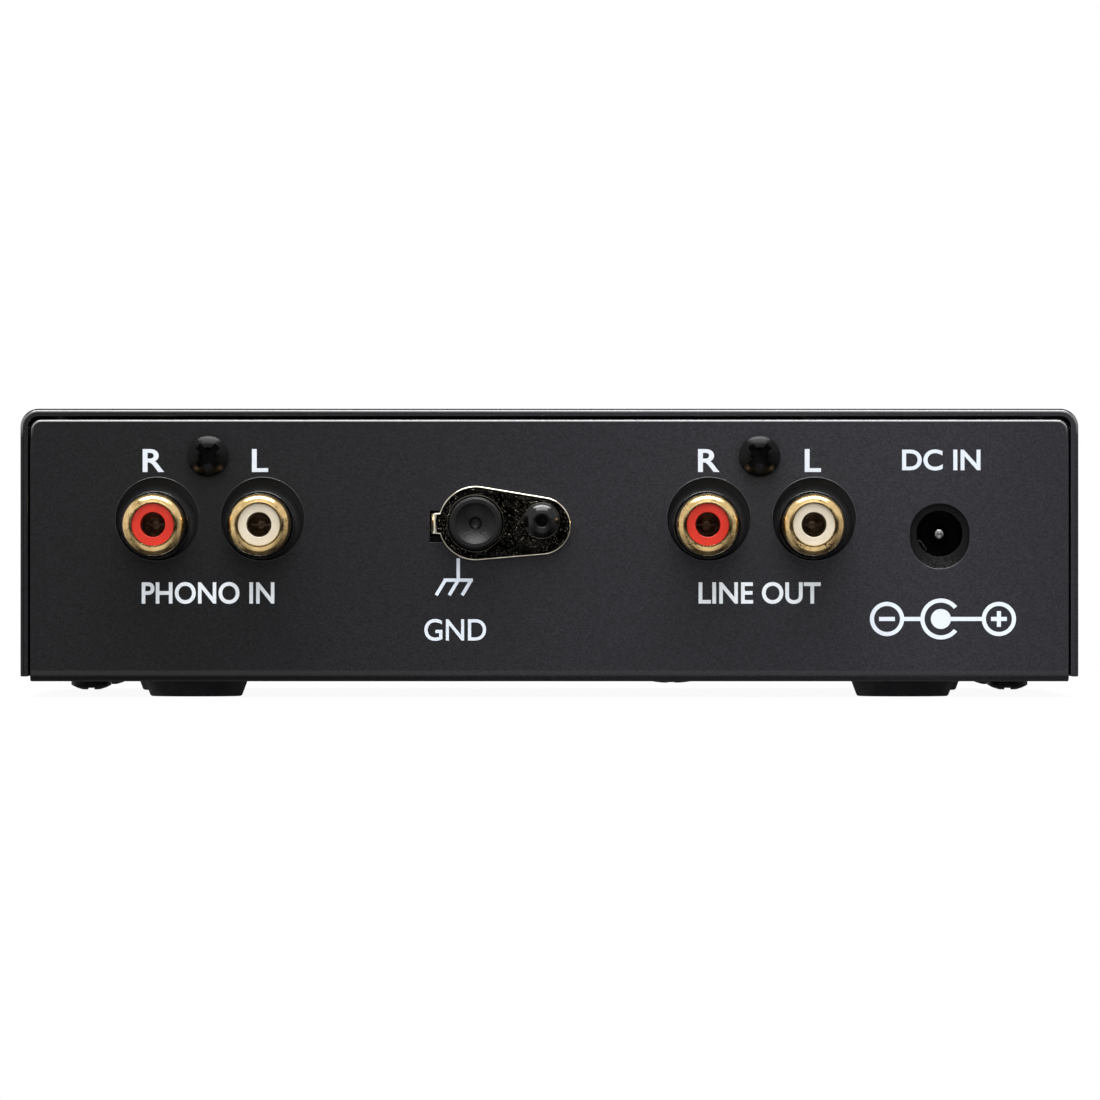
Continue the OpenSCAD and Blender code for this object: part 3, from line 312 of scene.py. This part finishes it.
def print_ink(name, dark, light):
    """White screen print, a little uneven."""
    look = Look(name, Specular_IOR_Level=0.3)
    grain = look.noise(0.18 * MM, 3)
    look.colour(look.ramp(grain, (0.25, linear(*dark)), (0.6, linear(*light))))
    look.roughness(look.ramp(grain, (0.3, 0.5), (0.7, 0.62)))
    look.bump((grain, 0.01 * MM, 0.3))
    return look.material


def lens_plastic():
    """The lamp's clear, slightly blue lens."""
    look = Look("lens_plastic", IOR=1.49, Transmission_Weight=0.75)
    flow = look.noise(1.2 * MM, 2)
    look.colour(look.ramp(flow, (0.3, linear(186, 214, 236)), (0.7, linear(224, 238, 248))))
    look.roughness(look.ramp(flow, (0.3, 0.08), (0.7, 0.16)))
    look.bump((flow, 0.01 * MM, 0.2))
    return look.material


COAT = powder_coat("powder_coat", Coat_Weight=0.5, Coat_Roughness=0.22)
GLOSSY_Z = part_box("cover")[1].z - 4 * MM
EDGE = powder_coat("hole_edge", Coat_Weight=0.7, Coat_Roughness=0.3, Coat_IOR=1.8)
COVER_RIM = powder_coat("cover_rim", GLOSSY_Z, matt_top=True, Coat_Roughness=0.2, Coat_IOR=2.6)
TRAY_RIM = powder_coat("tray_rim", GLOSSY_Z, Coat_Roughness=0.22, Coat_IOR=3.4)
GILT = gilt()
NICKEL = nickel()
INK = print_ink("print_ink", (212, 219, 230), (222, 229, 240))
# painted light and shade in the print: the channel marks and DC IN, high on the panel where the lamps
# fall strongest, get a dimmer ink, and the words under the jacks, in the jacks' shadow, get a brighter
# ink
DIMMED_INK = print_ink("print_ink_painted_dimmer", (202, 209, 219), (212, 219, 229))
BRIGHTENED_INK = print_ink("print_ink_painted_brighter", (232, 239, 247), (241, 246, 252))
JACK_BLACK = jack_black()
BLACK_MATT = plastic("black_matt", (7, 7, 8), (14, 14, 15), (0.32, 0.44), 0.2 * MM, 0.16 * MM,
                     Specular_IOR_Level=0.28)
JACK_GREY = jack_grey()
RED = plastic("red_insulator", (187, 36, 18), (203, 44, 24), (0.3, 0.4))
IVORY = plastic("ivory_insulator", (199, 187, 166), (212, 201, 179), (0.3, 0.4))
RUBBER = plastic("rubber", (9, 10, 14), (15, 17, 22), (0.62, 0.75), 0.3 * MM, 0.03 * MM,
                 Specular_IOR_Level=0.3)
PLUNGER = plastic("plunger_plastic", (196, 193, 184), (212, 209, 200), (0.4, 0.5))
BOARD = plastic("board_mask", (16, 62, 36), (26, 84, 50), (0.3, 0.4), 1.1 * MM, 0.02 * MM)
RESIN = plastic("chip_resin", (24, 24, 26), (34, 34, 37), (0.5, 0.6))
SLEEVE = plastic("can_sleeve", (22, 28, 46), (32, 40, 62), (0.2, 0.3))
FILM = plastic("film_resin", (150, 44, 34), (176, 58, 44), (0.3, 0.4))
LACQUER = plastic("resistor_lacquer", (54, 112, 146), (78, 138, 170), (0.3, 0.4))
BLACK_STEEL = plastic("black_steel", (3, 3, 3), (8, 8, 8), (0.3, 0.4), 0.2 * MM, 0.05 * MM,
                      Specular_IOR_Level=0.12)
OILED_STEEL = plastic("oiled_steel", (3, 3, 3), (7, 7, 7), (0.2, 0.26), 0.3 * MM, 0.03 * MM,
                      Specular_IOR_Level=0.12)
BLACK_CHROME = plastic("black_chrome", (4, 4, 4), (8, 8, 8), (0.12, 0.18), IOR=1.4)
BRONZE = metal("contact_bronze", (190, 160, 128), (232, 212, 186), (0.18, 0.3), bare=0.5)
PIN_NICKEL = metal("pin_nickel", (120, 120, 122), (170, 170, 172), (0.07, 0.12), 0.5 * MM, 0.03 * MM)
ZINC = metal("zinc_plate", (150, 152, 158), (196, 199, 204), (0.25, 0.4), bare=0.8)
TURNED_BRASS = metal("turned_brass", (168, 132, 66), (206, 172, 100), (0.25, 0.4), stretch=(1, 1, 8))
ALUMINIUM = metal("drawn_aluminium", (176, 178, 182), (214, 216, 220), (0.25, 0.4))
LENS = lens_plastic()


# ---- Dressing of the CAD nodes ----

SHARP = math.radians(28)         # edges that turn more than this are rounded
FLAT = math.radians(0.2)         # faces that turn less than this are one face
WELD = 0.001 * MM                # corners nearer than this are one corner


def bevel(piece, name, width, segments, clamp):
    edge = piece.modifiers.new(name, "BEVEL")
    edge.width = width * MM
    edge.segments = segments
    edge.use_clamp_overlap = clamp
    return edge


def round_rim(piece, width, material, *tests):
    """Rounds the edges between corners whose places pass one of the tests, in a second material."""
    piece.data.materials.append(material)
    for test in tests:
        group = piece.vertex_groups.new(name=test.__name__)
        group.add([v.index for v in piece.data.vertices if test(v.co)], 1, "ADD")
        wide = bevel(piece, test.__name__, width, 5, False)
        wide.limit_method = "VGROUP"
        wide.vertex_group = group.name
        wide.material = 1


def dress(material, width, *names, segments=3, clamp=True, rim=()):
    """Gives CAD nodes a material, and rounds their edges by width millimetres.

    A rim holds what round_rim takes after the piece: a width, a material and its tests."""
    for name in names:
        piece = nodes[name]
        mesh = piece.data
        mesh.materials.clear()
        mesh.materials.append(material)
        if "custom_normal" in mesh.attributes:
            mesh.attributes.remove(mesh.attributes["custom_normal"])
        mesh.polygons.foreach_set("use_smooth", [True] * len(mesh.polygons))
        weld = piece.modifiers.new("weld", "WELD")
        weld.merge_threshold = WELD
        flat = piece.modifiers.new("flat", "DECIMATE")
        flat.decimate_type = "DISSOLVE"
        flat.angle_limit = FLAT
        if rim:
            round_rim(piece, *rim)
        if width:
            edge = bevel(piece, "edge", width, segments, clamp)
            edge.limit_method = "ANGLE"
            edge.angle_limit = SHARP
        for group in piece.vertex_groups:
            # brings the weights that the bevels leave between 0 and 1, where a valid mesh has them
            weights = piece.modifiers.new("weights", "VERTEX_WEIGHT_EDIT")
            weights.vertex_group = group.name
        even = piece.modifiers.new("even", "WEIGHTED_NORMAL")
        even.keep_sharp = False
        even.weight = 50


TRAY_LOW, TRAY_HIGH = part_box("tray")
COVER_LOW, COVER_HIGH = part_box("cover")
CLOSE = 0.02 * MM        # two places nearer than this are one
COVER_R = 2.4 * MM       # round corners of the cover
RIM_H = 2.5 * MM         # height of the part of the tray's panels that counts as its rim


def on_tray_rim(place):
    """True on the upper part of the tray's two outer faces."""
    outer = min(abs(place.y - TRAY_LOW.y), abs(place.y - TRAY_HIGH.y)) < CLOSE
    return outer and place.z > TRAY_HIGH.z - RIM_H


def on_cover_skin(place):
    """True on the outside of the cover, up to and round its upper corners."""
    across = abs(place.x - (COVER_HIGH.x + COVER_LOW.x) / 2) - (COVER_HIGH.x - COVER_LOW.x) / 2
    up = place.z - COVER_HIGH.z
    if min(across, up) > -COVER_R:
        return math.hypot(across + COVER_R, up + COVER_R) > COVER_R - 0.2 * MM
    return max(across, up) > -CLOSE


def on_near_rim(place):
    return on_cover_skin(place) and abs(place.y - COVER_LOW.y) < CLOSE


def on_far_rim(place):
    return on_cover_skin(place) and abs(place.y - COVER_HIGH.y) < CLOSE


SIDES = ("right", "left")
PAIRS = ("input", "output")


def each(pattern):
    return [pattern.format(pair, side) for pair in PAIRS for side in SIDES]


dress(COAT, 0.15, "tray", clamp=False, rim=(0.45, TRAY_RIM, on_tray_rim))
dress(COAT, 0.15, "cover", rim=(0.45, COVER_RIM, on_near_rim, on_far_rim))
dress(RUBBER, 0.25, "foot_rear_left", "foot_rear_right", "foot_front_left", "foot_front_right")
dress(BLACK_STEEL, 0.08, "cover_screws", "floor_screws")
dress(OILED_STEEL, 0.06, "jack_screws")
dress(JACK_BLACK, 0.08, "input_block", "output_block")
dress(GILT, 0.05, *each("{}_shell_{}"))
dress(RED, 0.08, "input_insulator_right", "output_insulator_right")
dress(IVORY, 0.08, "input_insulator_left", "output_insulator_left")
dress(BRONZE, 0.03, *each("{}_contact_{}"))
dress(JACK_GREY, 0.1, "power_jack")
dress(PIN_NICKEL, 0.04, "power_pin", "power_leaf")
dress(ZINC, 0.03, "ground_nut", "board_screws", "lamp_legs", "amplifier_legs", "resistor_leads")
dress(BLACK_STEEL, 0.04, "ground_jaw")
dress(NICKEL, 0.32, "ground_plate", segments=4)
dress(BLACK_CHROME, 0.1, "ground_screw")
dress(BLACK_MATT, 0.1, "ground_button", "power_button")
dress(BLACK_MATT, 0.1, "ground_housing", "power_switch", "lamp_collar")
dress(ZINC, 0, "ground_spring")
dress(BRONZE, 0.03, "ground_strap")
dress(PLUNGER, 0.1, "switch_plunger")
dress(LENS, 0, "lamp")
dress(TURNED_BRASS, 0.1, "standoffs")
dress(BOARD, 0.05, "circuit_board")
dress(RESIN, 0.15, "amplifiers", "regulator")
dress(SLEEVE, 0.3, "capacitor_cans")
dress(ALUMINIUM, 0.1, "capacitor_tops", "regulator_tab")
dress(FILM, 0.4, "film_capacitors")
dress(LACQUER, 0.3, "resistors")


# ---- The ground terminal's spring ----

SPRING_TURNS = 5
WIRE_R = 0.25 * MM


def tube(name, rings, sides, closed, material):
    """A smooth tube through rings of points, each a list of sides places."""
    points = [place for ring in rings for place in ring]
    faces = []
    for i in range(len(rings) - (0 if closed else 1)):
        near = i * sides
        far = (i + 1) % len(rings) * sides
        for j in range(sides):
            n = (j + 1) % sides
            faces.append((near + j, far + j, far + n, near + n))
    if not closed:
        faces.append(tuple(range(sides)))
        faces.append(tuple(range(len(points) - 1, len(points) - 1 - sides, -1)))
    mesh = bpy.data.meshes.new(name)
    mesh.from_pydata(points, [], faces)
    mesh.materials.append(material)
    mesh.polygons.foreach_set("use_smooth", [len(face) == 4 for face in faces])
    piece = bpy.data.objects.new(name, mesh)
    bpy.context.scene.collection.objects.link(piece)
    return piece


def wire_ring(x, y, z, turn, reach, radius, sides):
    """One section of a wire that goes round the Y axis through x and z, reach away from it."""
    ring = []
    for j in range(sides):
        tip = 2 * math.pi * j / sides
        far = reach + radius * math.cos(tip)
        ring.append((x + far * math.cos(turn), y - radius * math.sin(tip), z + far * math.sin(turn)))
    return ring


def return_spring(steps=100, sides=10):
    """The ground terminal's return coil, a wire helix in place of the rigid one."""
    low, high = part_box("ground_spring")
    middle = (low + high) / 2
    coil = (high.x - low.x) / 2 - WIRE_R
    rings = []
    for i in range(steps + 1):
        turn = 2 * math.pi * SPRING_TURNS * i / steps
        y = low.y + WIRE_R + (high.y - low.y - 2 * WIRE_R) * i / steps
        rings.append(wire_ring(middle.x, y, middle.z, turn, coil, WIRE_R, sides))
    spring = tube("return_coil", rings, sides, False, ZINC)
    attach(spring, "case")
    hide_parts("ground_spring")
    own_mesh(spring)


return_spring()


# ---- Screen print on the connector panel ----

INK_T = 0.015 * MM


def on_panel(x, z, lift):
    return Vector((x, PANEL_Y - lift, z))


def ink_piece(name, mesh, ink):
    """Gives a flat mesh on the panel its ink and thickness, and lets it ride with the case."""
    mesh.materials.clear()
    mesh.materials.append(ink)
    mesh.polygons.foreach_set("use_smooth", [False] * len(mesh.polygons))
    mesh.name = name
    piece = bpy.data.objects.new(name, mesh)
    bpy.context.scene.collection.objects.link(piece)
    solid = piece.modifiers.new("ink", "SOLIDIFY")
    solid.thickness = INK_T
    solid.offset = -1
    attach(piece, "case")


def bar(x0, z0, x1, z1, width):
    """A straight stroke."""
    along = Vector((x1 - x0, z1 - z0)).normalized()
    side = Vector((-along.y, along.x)) * width / 2
    return [(x0 - side.x, z0 - side.y), (x1 - side.x, z1 - side.y),
            (x1 + side.x, z1 + side.y), (x0 + side.x, z0 + side.y)]


def arc(x, z, radius, width, start=0, end=360, steps=48):
    """A round stroke, as short straight-sided outlines."""
    made = []
    inner = radius - width / 2
    outer = radius + width / 2
    for i in range(steps):
        a = math.radians(start + (end - start) * i / steps)
        b = math.radians(start + (end - start) * (i + 1) / steps)
        made.append([(x + r * math.cos(t), z + r * math.sin(t))
                     for r, t in ((inner, a), (outer, a), (outer, b), (inner, b))])
    return made


def disc(x, z, radius, steps=48):
    turn = 2 * math.pi / steps
    return [(x + radius * math.cos(turn * i), z + radius * math.sin(turn * i)) for i in range(steps)]


def symbol(name, outlines):
    """One piece of print: everything inside any of the outlines, given in metres on the panel."""
    flat = []
    faces = []
    for outline in outlines:
        faces.append(list(range(len(flat), len(flat) + len(outline))))
        flat += [Vector((x / MM, z / MM)) for x, z in outline]
    points, _, parts, _, _, inside = delaunay_2d_cdt(flat, [], faces, 0, 1e-5)
    kept = [part for part, outlines in zip(parts, inside) if outlines]
    used = sorted({i for part in kept for i in part})
    place = {old: new for new, old in enumerate(used)}
    mesh = bpy.data.meshes.new(name)
    mesh.from_pydata([on_panel(points[i].x * MM, points[i].y * MM, INK_T) for i in used], [],
                     [[place[i] for i in part] for part in kept])
    ink_piece(name, mesh, INK)


def lettering(name, text, x, base_z, cap, width, weight, ink=INK):
    """Words centred on x, cap high and width wide, standing on the line base_z."""
    curve = bpy.data.curves.new(name, "FONT")
    curve.body = text
    curve.size = 1
    curve.offset = weight
    curve.resolution_u = 6
    words = bpy.data.objects.new(name, curve)
    bpy.context.scene.collection.objects.link(words)
    bpy.context.view_layer.update()
    graph = bpy.context.evaluated_depsgraph_get()
    mesh = bpy.data.meshes.new_from_object(words.evaluated_get(graph))
    bpy.data.objects.remove(words)
    xs = [v.co.x for v in mesh.vertices]
    ys = [v.co.y for v in mesh.vertices]
    wide = width / (max(xs) - min(xs))
    high = cap / (max(ys) - min(ys))
    middle = (max(xs) + min(xs)) / 2
    for v in mesh.vertices:
        v.co = on_panel(x + (v.co.x - middle) * wide, base_z + (v.co.y - min(ys)) * high, INK_T)
    ink_piece(name, mesh, ink)


MARK_CAP = 3.05 * MM     # height of the channel marks
LABEL_CAP = 2.9 * MM     # height of the words
MARK_Z = 29.9 * MM       # the line that the channel marks stand on
LABEL_Z = 12.4 * MM      # the line that the words under the jacks stand on
LIGHT = 0.008            # how far the outlines of the letters are moved out, as a share of their size
MEDIUM = 0.016
HEAVY = 0.018
BOLD = 0.02
GROUND_X = middle_of("ground_button").x
POWER_X = middle_of("power_jack").x
MARKS = (("input_{}_right", "R", 2.85 * MM, -0.25 * MM), ("input_{}_left", "L", 2.15 * MM, -0.1 * MM),
         ("output_{}_right", "R", 2.85 * MM, 0.25 * MM), ("output_{}_left", "L", 2.15 * MM, 0.06 * MM))
for pattern, letter, width, shift in MARKS:
    jack_x = middle_of(pattern.format("shell")).x
    name = "mark_" + pattern.format("jack")
    lettering(name, letter, jack_x + shift, MARK_Z, MARK_CAP, width, MEDIUM, DIMMED_INK)
for pair, words, width in (("input", "PHONO IN", 17.6 * MM), ("output", "LINE OUT", 16.2 * MM)):
    pair_x = middle_of(pair + "_block").x
    lettering("label_" + pair, words, pair_x, LABEL_Z, LABEL_CAP, width, HEAVY, BRIGHTENED_INK)
lettering("label_ground", "GND", GROUND_X - 2.7 * MM, 7.5 * MM, LABEL_CAP, 8.2 * MM, LIGHT)
lettering("label_power", "DC IN", POWER_X + 0.2 * MM, 30.1 * MM, 2.8 * MM, 10.4 * MM, BOLD, DIMMED_INK)


def chassis_symbol():
    """A stem, a bar and three slanting legs."""
    stroke = 0.45 * MM
    stem_x = GROUND_X - 2.3 * MM
    bar_z = 15.55 * MM
    half = 1.72 * MM
    lean = 1.2 * MM
    outlines = [bar(stem_x, bar_z, stem_x, bar_z + 2.9 * MM, stroke),
                bar(stem_x - half - stroke / 2, bar_z, stem_x + half + stroke / 2, bar_z, stroke)]
    for x in (stem_x - half, stem_x, stem_x + half):
        outlines.append(bar(x, bar_z, x - lean, bar_z - 2 * MM, stroke))
    symbol("symbol_chassis", outlines)


def polarity_symbol():
    """Minus on the sleeve, plus on the centre pin."""
    stroke = 0.55 * MM
    z = 10.4 * MM
    minus_x = POWER_X - 7 * MM
    plus_x = POWER_X + 7.85 * MM
    ring = 2 * MM
    cup_x = POWER_X + 0.15 * MM
    cup = 2.45 * MM
    cross = 1.05 * MM
    outlines = arc(minus_x, z, ring, stroke) + arc(plus_x, z, ring, stroke)
    outlines += arc(cup_x, z, cup, stroke, 38, 322)
    outlines.append(disc(cup_x, z, 1.33 * MM))
    outlines.append(bar(minus_x + ring, z, cup_x - cup, z, stroke))
    outlines.append(bar(cup_x, z, plus_x - ring, z, stroke))
    outlines.append(bar(minus_x - cross, z, minus_x + cross, z, stroke))
    outlines.append(bar(plus_x - cross, z, plus_x + cross, z, stroke))
    outlines.append(bar(plus_x, z - cross, plus_x, z + cross, stroke))
    symbol("symbol_polarity", outlines)


chassis_symbol()
polarity_symbol()


# ---- The raised edge that the paint leaves round each jack hole ----

HOLE_R = 5.5 * MM
HOLE_SHIFT = 0.25 * MM      # the holes' places beside the jacks' axes
HOLE_DROP = 0.75 * MM
BURR_R = 0.06 * MM


def hole_edge(name, x, z, steps=72, sides=8):
    """A thin ring of paint, half sunk in the panel, whose inner side stands on the hole."""
    turns = [2 * math.pi * i / steps for i in range(steps)]
    rings = [wire_ring(x, PANEL_Y, z, turn, HOLE_R + BURR_R, BURR_R, sides) for turn in turns]
    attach(tube(name, rings, sides, True, EDGE), "case")


for pair in PAIRS:
    for side in SIDES:
        axis = middle_of(f"{pair}_insulator_{side}")
        hole_edge(f"hole_edge_{pair}_{side}", axis.x + HOLE_SHIFT, axis.z + HOLE_DROP)


# ---- Floor, world and lamps ----

DAYLIGHT = 0.75          # the world's strength on what isn't a mirror
NEAR = 0.12              # metres from the middle at which the floor starts to turn plain white
FAR = 0.45               # and at which it is
FLOOR_GLOW = 0.94        # how much of the floor near the object is plain white


class Stage:
    """Helpers for the floor's and the world's node trees."""

    def __init__(self, tree):
        self.tree = tree
        tree.nodes.clear()
        self.path = tree.nodes.new("ShaderNodeLightPath")

    def link(self, source, target):
        self.tree.links.new(source, target)

    def value(self, operation, a, b):
        made = self.tree.nodes.new("ShaderNodeMath")
        made.operation = operation
        for source, target in zip((a, b), made.inputs):
            if isinstance(source, (int, float)):
                target.default_value = source
            else:
                self.link(source, target)
        return made.outputs[0]

    def band(self, *values):
        return smooth_step(self.tree, *values)

    def times(self, first, second):
        return self.value("MULTIPLY", first, second)

    def white(self, kind, colour, strength=None):
        """A shader of one grey, with its strength where it has one."""
        made = self.tree.nodes.new(kind)
        made.inputs["Color"].default_value = (colour, colour, colour, 1)
        if isinstance(strength, (int, float)):
            made.inputs["Strength"].default_value = strength
        elif strength:
            self.link(strength, made.inputs["Strength"])
        return made.outputs[0]

    def mix(self, share, first, second):
        made = self.tree.nodes.new("ShaderNodeMixShader")
        self.link(share, made.inputs["Fac"])
        self.link(first, made.inputs[1])
        self.link(second, made.inputs[2])
        return made.outputs[0]

    def seen(self):
        """1 where a ray comes straight from the camera or through glass."""
        return self.value("MAXIMUM", self.path.outputs["Is Camera Ray"],
                          self.path.outputs["Is Transmission Ray"])


def make_floor():
    """White to the camera, with the object's shadow; grey to soft light; clear to mirrors."""
    size = 3
    floor = bpy.data.objects.new("floor", bpy.data.meshes.new("floor"))
    floor.data.from_pydata([(-size, -size, 0), (size, -size, 0), (size, size, 0), (-size, size, 0)],
                           [], [(0, 1, 2, 3)])
    floor.location.z = -0.01 * MM
    bpy.context.scene.collection.objects.link(floor)
    material = bpy.data.materials.new("floor")
    material.use_nodes = True
    stage = Stage(material.node_tree)
    place = stage.tree.nodes.new("ShaderNodeTexCoord")
    reach = stage.tree.nodes.new("ShaderNodeVectorMath")
    reach.operation = "LENGTH"
    stage.link(place.outputs["Object"], reach.inputs[0])
    plain = stage.band(reach.outputs["Value"], NEAR, FAR, FLOOR_GLOW, 1)
    glow = stage.white("ShaderNodeEmission", 1, 1)
    shown = stage.mix(plain, stage.white("ShaderNodeBsdfDiffuse", 0.9), glow)
    clear = stage.white("ShaderNodeBsdfTransparent", 1)
    grey = stage.white("ShaderNodeBsdfDiffuse", 0.25)
    unseen = stage.mix(stage.path.outputs["Is Glossy Ray"], grey, clear)
    output = stage.tree.nodes.new("ShaderNodeOutputMaterial")
    stage.link(stage.mix(stage.seen(), unseen, shown), output.inputs["Surface"])
    floor.data.materials.append(material)


def make_world():
    """White to the camera, plain daylight to soft light, and a tent of soft walls to mirrors."""
    world = bpy.data.worlds.new("studio")
    bpy.context.scene.world = world
    world.use_nodes = True
    stage = Stage(world.node_tree)
    place = stage.tree.nodes.new("ShaderNodeTexCoord")
    x, y, z = axes_of(stage.tree, place.outputs["Generated"])
    wide = stage.value("ABSOLUTE", x, 0)
    roof = stage.times(stage.band(z, 0.05, 0.28, 0, 1), stage.band(y, 0, 0.5, 1, 0.15))
    table = stage.times(stage.band(z, -0.28, -0.05, 1, 0), stage.band(y, -0.62, -0.35, 1, 0.1))
    table = stage.times(table, stage.band(wide, 0.1, 0.55, 1, 0.3))
    left = stage.times(stage.band(x, -0.75, -0.4, 1, 0), stage.band(z, -0.6, 0, 0.4, 1))
    right = stage.times(stage.band(x, 0.4, 0.85, 0, 0.65), stage.band(z, -0.6, 0, 0.3, 1))
    back = stage.times(stage.band(y, 0.2, 0.7, 0, 0.35), stage.band(z, -0.2, 0.1, 0.05, 1))
    window = stage.times(stage.band(z, 0.08, 0.2, 0, 1.8), stage.band(z, 0.5, 0.7, 1, 0))
    window = stage.times(window, stage.band(wide, 0.1, 0.3, 1, 0))
    window = stage.times(window, stage.band(y, 0, 0.1, 1, 0))
    tent = roof
    for part in (window, table, left, right, back):
        tent = stage.value("MAXIMUM", tent, part)
    walls = stage.white("ShaderNodeBackground", 1, tent)
    dim = stage.white("ShaderNodeBackground", 1, DAYLIGHT)
    shown = stage.white("ShaderNodeBackground", 1, 1)
    unseen = stage.mix(stage.path.outputs["Is Glossy Ray"], dim, walls)
    output = stage.tree.nodes.new("ShaderNodeOutputWorld")
    stage.link(stage.mix(stage.seen(), unseen, shown), output.inputs["Surface"])


def make_lamp(name, place, target, width, height, power, mirrored=True):
    """A lamp of width by height metres at a place; glossy surfaces show it where it is mirrored."""
    lamp = bpy.data.lights.new(name, "AREA")
    lamp.shape = "RECTANGLE"
    lamp.size = width
    lamp.size_y = height
    lamp.energy = power
    made = bpy.data.objects.new(name, lamp)
    made.location = place
    made.rotation_euler = (Vector(target) - Vector(place)).to_track_quat("-Z", "Y").to_euler()
    made.visible_glossy = mirrored
    bpy.context.scene.collection.objects.link(made)


make_floor()
make_world()
AIM = (0, 0, 0.02)
make_lamp("key", (0, -0.4, 0.85), AIM, 0.8, 0.45, 8.5)
make_lamp("strip", (0, -0.22, 0.8), AIM, 1, 0.12, 6)
make_lamp("softbox_left", (-0.8, -0.3, 0.4), AIM, 0.6, 0.6, 1.7, False)
make_lamp("softbox_right", (0.5, -0.38, 0.2), (0.03, 0, 0.02), 0.35, 0.4, 0.5, False)
